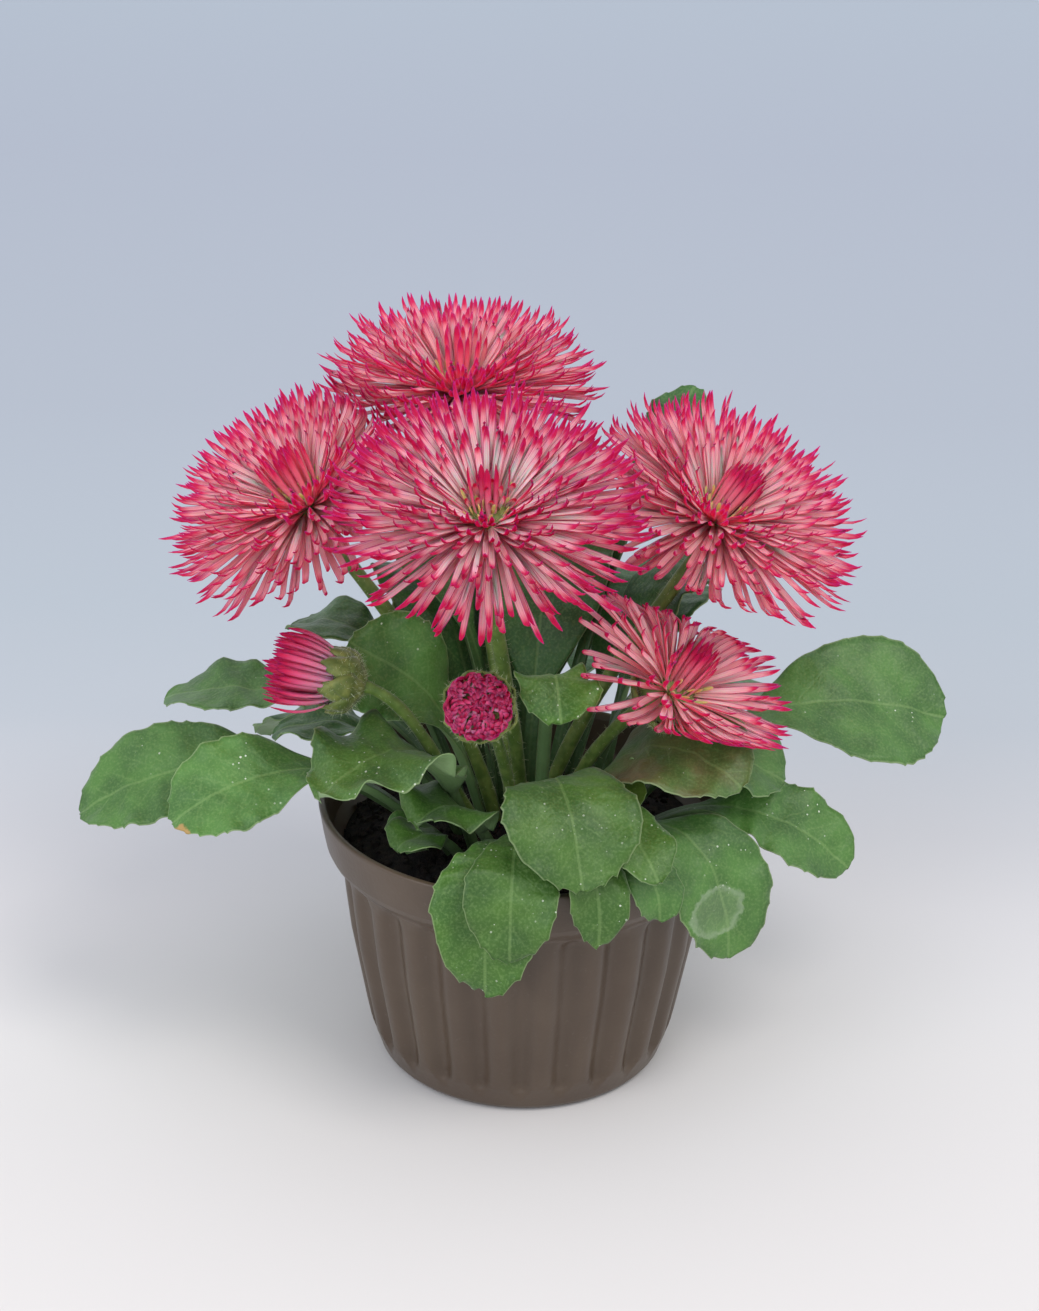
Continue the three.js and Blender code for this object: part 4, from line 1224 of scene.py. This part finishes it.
@dataclass(frozen=True)
class Quills:
    """The tree that sweeps a floret's or a stalk's section along each line of a mesh."""

    name: str = "quills swept along lines"

    def tree(self) -> bpy.types.NodeTree:
        """Returns the tree, which is built on first use."""
        return bpy.data.node_groups.get(self.name) or self.build()

    def build(self) -> bpy.types.NodeTree:
        """Builds the tree. Channel turns the round section into a shallow channel, pale face up.

        Returns:
            The tree.
        """
        tree, given = new_tree(self.name, {"Sides": "Int", "Channel": "Float", "Material": "Material"})
        add = partial(put, tree)
        lines = add("GeometryNodeMeshToCurve", given["Geometry"])
        face = add("mark", "face", data_type="FLOAT_VECTOR")
        lines = add("GeometryNodeSetCurveNormal", named={"Curve": lines, "Normal": face}, mode="FREE")
        width = add("mark", "width", data_type="FLOAT")
        lines = add("GeometryNodeSetCurveRadius", named={"Curve": lines, "Radius": width})
        circle = {"Resolution": given["Sides"], "Radius": 1.0}
        section = add("GeometryNodeCurvePrimitiveCircle", named=circle)
        x, y, _ = add("split", add("GeometryNodeInputPosition")).outputs
        square = add("multiply", y, y)
        low = add("subtract", add("add", add("multiply", y, 0.207), 0.15), add("multiply", square, 0.462))
        height = add("choose", given["Channel"], y, low)
        tone = add("add", add("add", add("multiply", y, 0.575), 0.35), add("multiply", square, 0.198))
        toned = {"Geometry": section, "Name": "tone", "Value": tone}
        section = add("GeometryNodeStoreNamedAttribute", named=toned, data_type="FLOAT", domain="POINT")
        # The section's own X runs along the face, and its Y across the floret.
        shaped = {"Geometry": section, "Position": add("gather", height, add("multiply", x, -1.0))}
        section = add("GeometryNodeSetPosition", named=shaped)
        swept = {"Curve": lines, "Profile Curve": section, "Fill Caps": True}
        swept["Scale"] = add("GeometryNodeInputRadius")
        swept = add("GeometryNodeCurveToMesh", named=swept)
        rounded = add("GeometryNodeSetShadeSmooth", named={"Geometry": swept, "Shade Smooth": True})
        whole = add("GeometryNodeRealizeInstances", rounded)
        dressed = add("GeometryNodeSetMaterial", named={"Geometry": whole, "Material": given["Material"]})
        add("NodeGroupOutput", dressed)
        return tree


@dataclass(frozen=True)
class Downing:
    """The tree that sets fine hairs on the downy faces of a mesh."""

    name: str = "hairs set on downy faces"

    def tree(self) -> bpy.types.NodeTree:
        """Returns the tree, which is built on first use."""
        return bpy.data.node_groups.get(self.name) or self.build()

    def build(self) -> bpy.types.NodeTree:
        """Builds the tree. The mark downy, from 0 to 1, thins the hairs out.

        Returns:
            The tree.
        """
        sizes = {key: "Float" for key in ("Density", "Length", "Thickness")}
        tree, given = new_tree(self.name, {**sizes, "Seed": "Int", "Material": "Material"})
        add = partial(put, tree)
        density = add("multiply", add("mark", "downy", data_type="FLOAT"), given["Density"])
        points = {"Mesh": given["Geometry"], "Density": density, "Seed": given["Seed"]}
        points = add("GeometryNodeDistributePointsOnFaces", named=points)
        hair = {"Vertices": 3, "Radius Top": 0.0, "Radius Bottom": given["Thickness"]}
        hair = add("GeometryNodeMeshCone", named={**hair, "Depth": given["Length"]}, fill_type="NGON")
        stray = add("give", (-0.5,) * 3, (0.5,) * 3, named={"Seed": 4}, data_type="FLOAT_VECTOR")
        aim = add("vector", points.outputs["Normal"], stray, operation="ADD")
        turn = add("FunctionNodeAlignRotationToVector", named={"Vector": aim}, axis="Z")
        size = add("give", 0.5, 1.2, named={"Seed": 7}, data_type="FLOAT")
        hairs = {"Points": points.outputs["Points"], "Instance": hair, "Rotation": turn, "Scale": size}
        hairs = add("GeometryNodeRealizeInstances", add("GeometryNodeInstanceOnPoints", named=hairs))
        hairs = add("GeometryNodeSetMaterial", named={"Geometry": hairs, "Material": given["Material"]})
        both = add("GeometryNodeJoinGeometry", hairs)
        tree.links.new(given["Geometry"], both.inputs[0])
        add("NodeGroupOutput", both)
        return tree


QUILLS = Quills()
DOWNING = Downing()


@dataclass(frozen=True)
class Tuft:
    """A bunch of inner florets that still stand together, leaning as one.

    tilt and bearing give its direction in the world, in degrees from upright.
    """

    tilt: float
    bearing: float
    florets: int = 46
    length: float = 17.0
    spread: float = 17.0
    width: float = 1.5
    foot: float = 2.6
    sunk: float = 1.5


@dataclass
class Floret:
    """The centre line of one floret, with the way that its inner face looks."""

    path: np.ndarray
    face: np.ndarray
    width: float
    tint: float
    young: float = 0.0


@dataclass(frozen=True)
class FlowerHead:
    """One flower head on its stalk; the angles are in degrees and the lengths in millimetres."""

    name: str
    root: tuple[float, float]
    at: tuple[float, float, float]
    axis: tuple[float, float]
    outer: float = 26.0
    inner: float = 12.5
    low: float = -6.0
    high: float = 52.0
    core: float = 7.2
    core_height: float = 3.6
    cup: float = 7.6
    cup_height: float = 4.2
    cup_rise: float = 0.0
    bract_count: int = 8
    bract_thickness: float = 0.45
    # How far the bracts' tips lean in.
    clasp: float = 0.0
    stalk: float = 1.55
    lean: float = 0.12
    # Down: hairs on the cup, the share of them on the stalk, and the size of a hair.
    hairs_per_mm2: float = 0.8
    stalk_down: float = 0.35
    hair_length: float = 1.2
    hair_thickness: float = 0.036
    florets: int = 520
    width: float = 1.42
    # How far a floret sinks towards its tip, and how far the tip itself turns up.
    droop: float = 12.0
    beak: float = 46.0
    # Where the florets stand on the core, from the rim to the middle, in degrees from its top.
    stands: tuple[float, float] = (100.0, 34.0)
    # Scatter of a floret: its turn in radians, its lean, droop and sway in degrees, and the share of its
    # length.
    stray: tuple[float, float, float, float, float] = (0.08, 4.0, 6.0, 7.0, 0.16)
    # A brush: radius that its florets leave the core at, how far the outer ones splay, and their scatter.
    brush: tuple[float, float, float] = (5.7, 19.0, 3.0)
    # A button: the dome's radius and height, and how far its florets swirl aside, in radians.
    dome: tuple[float, float, float] = (5.6, 4.0, 0.75)
    # Planes that the florets lie against, each a direction and how far from the head it stands.
    rests: tuple[tuple[tuple[float, float, float], float], ...] = ()
    tufts: tuple[Tuft, ...] = ()
    disc: int = 40
    style: HeadStyle = HeadStyle.OPEN
    seed: int = 1
    steps: tuple[float, ...] = (0.0, 0.12, 0.28, 0.45, 0.62, 0.77, 0.88, 0.95, 1.0)
    swell: tuple[float, ...] = (0.5, 0.62, 0.8, 0.93, 1.0, 0.97, 0.82, 0.52, 0.08)

    @property
    def up(self) -> np.ndarray:
        """The head's axis."""
        tilt, bearing = self.axis
        return on_bearing(math.sin(tilt * DEGREE), bearing, math.cos(tilt * DEGREE))

    def directions(self) -> tuple[np.ndarray, np.ndarray]:
        """Returns the two directions square to the axis, as in the CAD source."""
        across = unit(np.cross(self.up, (0.05, 1.0, 0.0)))
        return across, np.cross(self.up, across)

    def way(self, angle: float, lean: float = 0.0) -> np.ndarray:
        """Finds a direction round the head's axis.

        Args:
            angle: angle round the axis, in radians.
            lean: how far it rises towards the axis, in radians.

        Returns:
            The unit direction.
        """
        across, along = self.directions()
        outward = across * math.cos(angle) + along * math.sin(angle)
        return outward * math.cos(lean) + self.up * math.sin(lean)

    def place(self, radius: float, angle: float, height: float) -> np.ndarray:
        """Returns the point at a radius, angle and height in the head's own frame."""
        return np.array(self.at) + self.up * height + self.way(angle) * radius

    def walk(self, start: np.ndarray, length: float, ways: Sequence[np.ndarray]) -> np.ndarray:
        """Draws the line of a floret.

        Args:
            start: where it sets out.
            length: its length, in millimetres.
            ways: the direction of each step.

        Returns:
            The line's points.
        """
        points = [start]
        for near, after, way in zip(self.steps, self.steps[1:], ways):
            points.append(points[-1] + way * length * (after - near))
        return np.array(points)

    @property
    def middles(self) -> list[float]:
        """The middle of each step along a floret."""
        return [(near + after) / 2 for near, after in zip(self.steps, self.steps[1:])]

    def fences(self) -> list[tuple[np.ndarray, float]]:
        """Finds the planes half way to each other head, which no floret crosses.

        Returns:
            Direction and distance of each plane.
        """
        here = np.array(self.at)
        made = []
        for other in HEADS:
            if other.name != self.name and self.style in (HeadStyle.OPEN, HeadStyle.PALE):
                there = np.array(other.at)
                normal = unit(there - here)
                share = self.outer / (self.outer + other.outer)
                gap = float(np.linalg.norm(there - here))
                made.append((normal, float(normal @ here) + share * gap - 0.8))
        for way, away in self.rests:
            normal = unit(np.array(way))
            made.append((normal, float(normal @ here) + away))
        return made

    def clear(self, path: np.ndarray, fences: list[tuple[np.ndarray, float]]) -> np.ndarray:
        """Bends a floret's line so that it stays on its own side of every fence.

        Args:
            path: the line's points.
            fences: direction and distance of each plane.

        Returns:
            The bent line's points.
        """
        soft = 4.0
        for normal, reach in fences:
            room = reach - path @ normal
            eased = np.where(room < soft, soft * np.exp(np.minimum(room - soft, 0) / soft), room)
            path = path - (eased - room)[:, None] * normal
        return path

    def ray(self, i: int, rng: np.random.Generator) -> Floret:
        """Lays out one floret of an open head.

        Args:
            i: its number, from the rim inwards.
            rng: the head's random numbers.

        Returns:
            The floret.
        """
        turn, tip, sink, sway, uneven = self.stray
        inward = (i + 0.5) / self.florets
        angle = i * GOLDEN_ANGLE + rng.normal(0, turn)
        rise = lerp(math.sin(self.low * DEGREE), math.sin(self.high * DEGREE), inward)
        lean = math.asin(rise) / DEGREE + rng.normal(0, tip)
        length = lerp(self.outer, self.inner, inward**2) * (1 + uneven * (rng.random() - 0.62))
        polar = lerp(*self.stands, math.sqrt(inward)) * DEGREE
        radius = math.sin(polar) * (self.core - 1)
        start = self.place(radius, angle, self.core_height + math.cos(polar) * (self.core_height - 1))
        droop = self.droop * (1 - 0.7 * inward) + rng.normal(0, sink)
        aside = rng.normal(0, sway) * DEGREE
        beak = self.beak * rng.uniform(0.4, 1.4)
        ways = []
        for middle in self.middles:
            tilt = lean + droop * (0.5 - middle) + beak * max(0.0, middle - 0.8) / 0.17
            ways.append(self.way(angle + aside * (middle - 0.3), tilt * DEGREE))
        width = self.width * lerp(1.0, 0.9, inward) * rng.uniform(0.8, 1.14)
        return Floret(self.walk(start, length, ways), self.up, width, rng.random())

    def tuft(self, tuft: Tuft, rng: np.random.Generator) -> list[Floret]:
        """Lays out the florets of a tuft.

        Args:
            tuft: the tuft's sizes.
            rng: the head's random numbers.

        Returns:
            Its florets.
        """
        axis = on_bearing(math.sin(tuft.tilt * DEGREE), tuft.bearing, math.cos(tuft.tilt * DEGREE))
        first = unit(np.cross(axis, (0.3, 0.2, 0.9)))
        second = np.cross(axis, first)
        base = self.place(0, 0, self.core_height * 1.1)
        made = []
        for i in range(tuft.florets):
            out = math.sqrt((i + 0.5) / tuft.florets)
            way = first * math.cos(i * GOLDEN_ANGLE) + second * math.sin(i * GOLDEN_ANGLE)
            splay = tuft.spread * out * DEGREE * rng.uniform(0.85, 1.1)
            length = tuft.length * (1 - 0.18 * out) * rng.uniform(0.9, 1.05)
            bends = [splay * (1.25 - 0.9 * middle) for middle in self.middles]
            ways = [axis * math.cos(bend) + way * math.sin(bend) for bend in bends]
            path = self.walk(base + way * out * tuft.foot - axis * tuft.sunk, length, ways)
            made.append(Floret(path, -way + axis * 0.2, tuft.width, rng.random() * 0.5))
        return made

    def disc_floret(self, i: int, rng: np.random.Generator) -> Floret:
        """Lays out one short yellow-green floret of the disc.

        Args:
            i: its number.
            rng: the head's random numbers.

        Returns:
            The floret.
        """
        angle = i * GOLDEN_ANGLE
        radius = self.core * 0.62 * math.sqrt((i + 0.5) / self.disc)
        start = self.place(radius, angle, self.core_height * 1.45)
        way = unit(self.way(angle) * radius * 0.5 + self.up * 4.0)
        path = self.walk(start, rng.uniform(3.0, 5.5), [way] * len(self.middles))
        return Floret(path, self.up + self.way(0.3) * 0.01, 0.9, rng.random(), 1.0)

    def bristle(self, i: int, rng: np.random.Generator) -> Floret:
        """Lays out one floret of a brush: they leave the cup side by side, a little bowed.

        Args:
            i: its number, from the middle outwards.
            rng: the head's random numbers.

        Returns:
            The floret.
        """
        radius, most, stray = self.brush
        out = math.sqrt((i + 0.5) / self.florets)
        angle = i * GOLDEN_ANGLE
        start = self.place(out * radius, angle, self.core_height * 0.8)
        splay = (most * out + rng.normal(0, stray)) * DEGREE
        length = lerp(self.outer, self.inner, out) * (1 + 0.34 * (rng.random() - 0.55))
        leans = [math.pi / 2 - splay * (1.7 - 2.0 * middle) for middle in self.middles]
        ways = [self.way(angle + rng.normal(0, 0.05), lean) for lean in leans]
        width = self.width * rng.uniform(0.85, 1.15)
        return Floret(self.walk(start, length, ways), -self.way(angle) + self.up * 0.1, width, rng.random())

    def curl(self, i: int, rng: np.random.Generator) -> Floret:
        """Lays out one floret of a button: it rises from the dome and curls over towards the middle.

        Args:
            i: its number, from the middle outwards.
            rng: the head's random numbers.

        Returns:
            The floret.
        """
        wide, tall, swirling = self.dome
        foot = self.cup_rise + 1.6
        out = math.sqrt((i + 0.5) / self.florets)
        polar = 88 * DEGREE * out
        swirl = rng.normal(0, swirling)
        angle = i * GOLDEN_ANGLE
        reach = rng.uniform(0.45, 0.85)
        points = []
        for step in self.steps:
            down = polar - reach * step * math.cos(swirl) * (0.6 + 0.4 * out)
            turn = angle + reach * step * math.sin(swirl) / max(0.35, math.sin(polar))
            stand = 0.55 + 0.75 * math.sin(math.pi * min(1.0, step * 1.15)) + rng.uniform(-0.1, 0.1)
            radius = math.sin(down) * (wide + stand)
            points.append(self.place(radius, turn, foot + math.cos(down) * (tall + stand)))
        face = -self.way(angle, polar) if out < 0.9 else self.up
        width = self.width * rng.uniform(0.8, 1.2)
        return Floret(np.array(points), face + self.way(1.0) * 0.01, width, rng.random())

    def lay_out(self) -> list[Floret]:
        """Lays out the whole head, floret by floret.

        Returns:
            Every floret.
        """
        rng = np.random.default_rng(self.seed)
        lay = getattr(self, self.style.value[2])
        made = [lay(i, rng) for i in range(self.florets)]
        for tuft in self.tufts:
            made += self.tuft(tuft, rng)
        made += [self.disc_floret(i, rng) for i in range(self.disc)]
        fences = self.fences()
        for floret in made:
            floret.path = self.clear(floret.path, fences)
        return made

    def seed_mesh(self) -> bpy.types.Mesh:
        """Draws the centre lines of the florets.

        Returns:
            The lines, with what the quill tree needs to know of each.
        """
        rng = np.random.default_rng(self.seed + 50)
        notes: dict[str, list[np.ndarray]] = {"width": [], "face": [], "marks": []}
        florets = self.lay_out()
        steps = np.array(self.steps)
        for floret in florets:
            ahead = unit(np.gradient(floret.path, axis=0))
            face = unit(floret.face - (ahead @ floret.face)[:, None] * ahead)
            roll = rng.normal(0, 16) * DEGREE
            notes["face"].append(face * math.cos(roll) + np.cross(ahead, face) * math.sin(roll))
            notes["width"].append(np.array(self.swell) * floret.width * MM / 2)
            rest = [np.full(len(steps), floret.tint), np.full(len(steps), floret.young)]
            notes["marks"].append(np.stack([steps, *rest], -1))
        return strands(self.name, [floret.path for floret in florets], **notes)

    def build_florets(self) -> None:
        """Builds the coloured head."""
        finish, slot, _ = self.style.value
        piece = grow(
            self.name + "_florets", self.seed_mesh(), QUILLS.tree(), Sides=8, Channel=1.0,
            Material=finish.material(),
        )
        settle(piece, slot, self.name)

    def stalk_curve(self) -> Bezier:
        """Lays out the stalk, the same as the CAD solid's.

        Returns:
            Its curve.
        """
        foot = on_bearing(*self.root, STEM_FOOT)
        end = np.array(self.at) - self.up * (GAP + self.cup_height)
        reach = float(np.linalg.norm(end - foot))
        near = lerp(foot, np.array([end[0], end[1], foot[2]]), self.lean) + UP * reach * 0.4
        far = end - self.up * reach * 0.22
        return Bezier(np.array([foot, near, far, end]))

    def stalk_mesh(self) -> bpy.types.Mesh:
        """Draws the stalk's centre line, from the soil up into the cup.

        Returns:
            The line.
        """
        curve = self.stalk_curve()
        share = np.linspace(0, 1, 30)
        lump = 1 + 0.05 * np.sin(share * 23 + self.seed)
        width = self.stalk * lump * (1 + 0.25 * smooth(share, 0.93, 1)) * MM
        face = np.repeat(curve.level()[None], len(share), 0)
        return strands("stalk", [curve.at(share)], width=[width], face=[face])

    def bracts(self) -> bpy.types.Mesh:
        """Builds the cup: two rows of overlapping pointed bracts round a green base.

        Returns:
            Its mesh.
        """
        corners: list[np.ndarray] = []
        faces: list[tuple[int, ...]] = []
        rng = np.random.default_rng(self.seed + 9)
        rise = self.cup_rise
        line = np.array([
            (self.stalk, -self.cup_height - 0.9), (self.cup * 0.55, -self.cup_height * 0.8),
            (self.cup * 0.86, -self.cup_height * 0.3), (self.cup, rise * 0.3), (self.cup, rise + 1.2),
        ])
        steps = np.linspace(0, 1, 10)
        knots = np.linspace(0, 1, len(line))
        columns = np.linspace(-1, 1, 5)
        share = TURN / self.bract_count
        for stand, most in ((0.0, 1.0), (0.45, 0.84)):
            for i in range(self.bract_count):
                middle = (i + stand) * TURN / self.bract_count + rng.normal(0, 0.05)
                reach = most * rng.uniform(0.92, 1.06)
                out = rng.uniform(-0.1, 0.6) - self.clasp
                faces += skin(len(steps), len(columns), len(corners))
                for layer in (0.0, self.bract_thickness):
                    for step in steps:
                        radius = np.interp(step * reach, knots, line[:, 0]) + stand - layer + out * step**3
                        height = np.interp(step * reach, knots, line[:, 1]) - GAP
                        taper = 0.08 + 0.92 * min(1.0, (1 - step) / 0.42) ** 0.6
                        for c in columns:
                            angle = middle + share * 0.64 * taper * c
                            corners.append(self.place(radius + (1 - c * c) * 0.35, angle, height))
        self.add_base(corners, faces)
        mesh = mesh_from("bracts", np.array(corners), faces)
        note(mesh, "downy", np.ones(len(corners)))
        return mesh

    def add_base(self, corners: list[np.ndarray], faces: list[tuple[int, ...]]) -> None:
        """Adds the green base that carries the florets and the bracts.

        Args:
            corners: the cup's corners, which are added to.
            faces: the cup's faces, which are added to.
        """
        sides = 24
        rows = (
            (self.stalk, -self.cup_height - 0.6), (self.cup * 0.6, -self.cup_height * 0.6), (self.core, 0.4),
            (self.core * 0.97, self.core_height), (self.core * 0.6, self.core_height * 1.75),
        )
        first = len(corners)
        for radius, height in rows:
            for k in range(sides):
                corners.append(self.place(radius * 0.93, TURN * k / sides, height - GAP))
        for height in (rows[0][1], rows[-1][1] + 0.4):
            corners.append(self.place(0, 0, height - GAP))
        top = first + (len(rows) - 1) * sides
        for k in range(sides):
            following = (k + 1) % sides
            for low in range(first, top, sides):
                faces.append((low + k, low + following, low + sides + following, low + sides + k))
            faces.append((first + following, first + k, len(corners) - 2))
            faces.append((top + k, top + following, len(corners) - 1))

    def build_stalk(self) -> None:
        """Builds the green part of the head: the stalk, the bracts and their down."""
        stalk = grow(
            self.name + "_stem", self.stalk_mesh(), QUILLS.tree(), Sides=14, Channel=0.0,
            Material=STEM.material(),
        )
        note(stalk.data, "downy", np.full(len(stalk.data.vertices), self.stalk_down))
        cup = show(self.name + "_cup", self.bracts())
        cup.data.materials.append(BRACT.material())
        both = [stalk, cup]
        with bpy.context.temp_override(active_object=stalk, object=stalk, selected_editable_objects=both):
            bpy.ops.object.join()
        bare = stalk.data
        bpy.data.objects.remove(stalk)
        piece = grow(
            self.name + "_stalk_downy", bare, DOWNING.tree(), Density=self.hairs_per_mm2 / MM**2,
            Length=self.hair_length * MM, Thickness=self.hair_thickness * MM, Seed=self.seed,
            Material=DOWN.material(),
        )
        settle(piece, Slot.STALK, self.name + "_stalk")


HEADS = (
    FlowerHead("bloom_back", (2.8, 150), (-15.5, 31, 139), (10, -100), seed=11, tufts=(Tuft(4, 90, 16),)),
    FlowerHead("bloom_left", (7, 146), (-45.5, 9, 122), (32, -140), seed=12, tufts=(Tuft(30, 178, 30),)),
    FlowerHead(
        "bloom_front", (2.8, -90), (-8.5, -26, 133), (24, -88), outer=27, seed=13, disc=22,
        tufts=(Tuft(24, 98, 14, 14), Tuft(58, -88, 34, 9.5, 62, 1.3)), style=HeadStyle.PALE,
    ),
    FlowerHead(
        "bloom_right", (2.8, 30), (38, 7, 121), (28, -50), seed=14, tufts=(Tuft(38, 12, 44, 16, 12),)
    ),
    FlowerHead(
        "bloom_low", (7, 15), (28, -12, 91), (50, -35), outer=24, stalk=1.45, florets=210, seed=15, disc=14,
        rests=(((-0.2, -0.35, -0.9), 5.5),), tufts=(Tuft(34, 8, 34, 15, 13),),
    ),
    FlowerHead(
        "bud_left", (7, -150), (-37.5, -15, 94.5), (78, 176), outer=13.5, inner=12.0, core=5.0,
        core_height=3.4, cup=6.9, cup_height=2.8, cup_rise=5, clasp=0.7, stalk=1.3, lean=0.45,
        florets=130, width=1.25, disc=0, style=HeadStyle.BRUSH, seed=16,
    ),
    FlowerHead(
        "bud_centre", (7, -98), (-9.5, -31, 97), (62, -95), outer=5, core=5.0, core_height=3.4, cup=6.9,
        cup_height=4.6, cup_rise=1.2, stalk=1.3, florets=210, width=0.95, disc=0,
        style=HeadStyle.BUTTON, seed=17,
    ),
)


# The studio


@dataclass(frozen=True)
class SoftBox:
    """A square soft light that looks at the plant; where it hangs and its side are in metres."""

    name: str
    at: tuple[float, float, float]
    size: float
    power: float
    tint: str
    looks_at: tuple[float, float, float] = (0.0, 0.0, 0.09)

    def hang(self) -> None:
        """Hangs the light."""
        data = bpy.data.lights.new(self.name, "AREA")
        data.size = self.size
        data.energy = self.power
        data.color = linear(self.tint)[:3]
        light = bpy.data.objects.new(self.name, data)
        light.location = self.at
        light.rotation_euler = (Vector(self.looks_at) - Vector(self.at)).to_track_quat("-Z", "Y").to_euler()
        bpy.context.scene.collection.objects.link(light)


@dataclass(frozen=True)
class Studio:
    """Pale background paper, soft light from above and the right, and the camera."""

    camera_at: tuple[float, float, float] = (-1.77, -501.4, 327.0)
    pitch: float = 24.9
    roll: float = 1.0
    focal_length: float = 71.4
    paper_half: float = 6000.0
    lights: tuple[SoftBox, ...] = (
        SoftBox("key soft box", (1.25, -1.25, 2.95), 1.3, 38.0, "fffaf4"),
        SoftBox("fill soft box", (-1.2, -1.6, 1.3), 1.6, 15.0, "f2f5ff"),
    )
    sky: str = "e4e8ee"
    sky_strength: float = 1.12

    def build_camera(self) -> None:
        """Places the camera where the photograph was taken from."""
        pitch, roll = self.pitch * DEGREE, self.roll * DEGREE
        ahead = Vector((0, math.cos(pitch), -math.sin(pitch)))
        above = Vector((0, math.sin(pitch), math.cos(pitch)))
        right = Vector((math.cos(roll), 0, 0)) + above * math.sin(roll)
        top = above * math.cos(roll) - Vector((math.sin(roll), 0, 0))
        data = bpy.data.cameras.new("camera")
        data.lens = self.focal_length
        data.sensor_width = 36.0
        data.clip_start = 0.01
        camera = bpy.data.objects.new("camera", data)
        turned = Matrix((right, top, -ahead)).transposed().to_4x4()
        camera.matrix_world = Matrix.Translation(Vector(self.camera_at) * MM) @ turned
        bpy.context.scene.collection.objects.link(camera)
        bpy.context.scene.camera = camera

    def build_paper(self) -> None:
        """Lays the background paper under the pot."""
        half = self.paper_half
        corners = [(x * half, y * half, 0) for x, y in ((-1, -1), (1, -1), (1, 1), (-1, 1))]
        mesh = mesh_from("paper", np.array(corners), [(0, 1, 2, 3)])
        mesh.materials.append(PAPER.material())
        show("paper", mesh)

    def build_sky(self) -> None:
        """Lights the room evenly."""
        world = bpy.data.worlds.new("studio")
        world.use_nodes = True
        background = world.node_tree.nodes["Background"]
        background.inputs["Color"].default_value = linear(self.sky)
        background.inputs["Strength"].default_value = self.sky_strength
        bpy.context.scene.world = world

    def build(self) -> None:
        """Builds the whole studio."""
        self.build_camera()
        self.build_paper()
        for light in self.lights:
            light.hang()
        self.build_sky()
        bpy.context.scene.view_settings.view_transform = "Standard"


def main() -> None:
    """Builds the studio and the plant round the frame."""
    logging.basicConfig(level=logging.INFO, format="%(name)s %(message)s")
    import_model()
    Studio().build()
    NurseryPot().build()
    Compost().build()
    for number, leaf in enumerate(LEAVES):
        leaf.build(number + 1)
    for head in HEADS:
        head.build_florets()
        head.build_stalk()


if __name__ == "__main__":
    main()
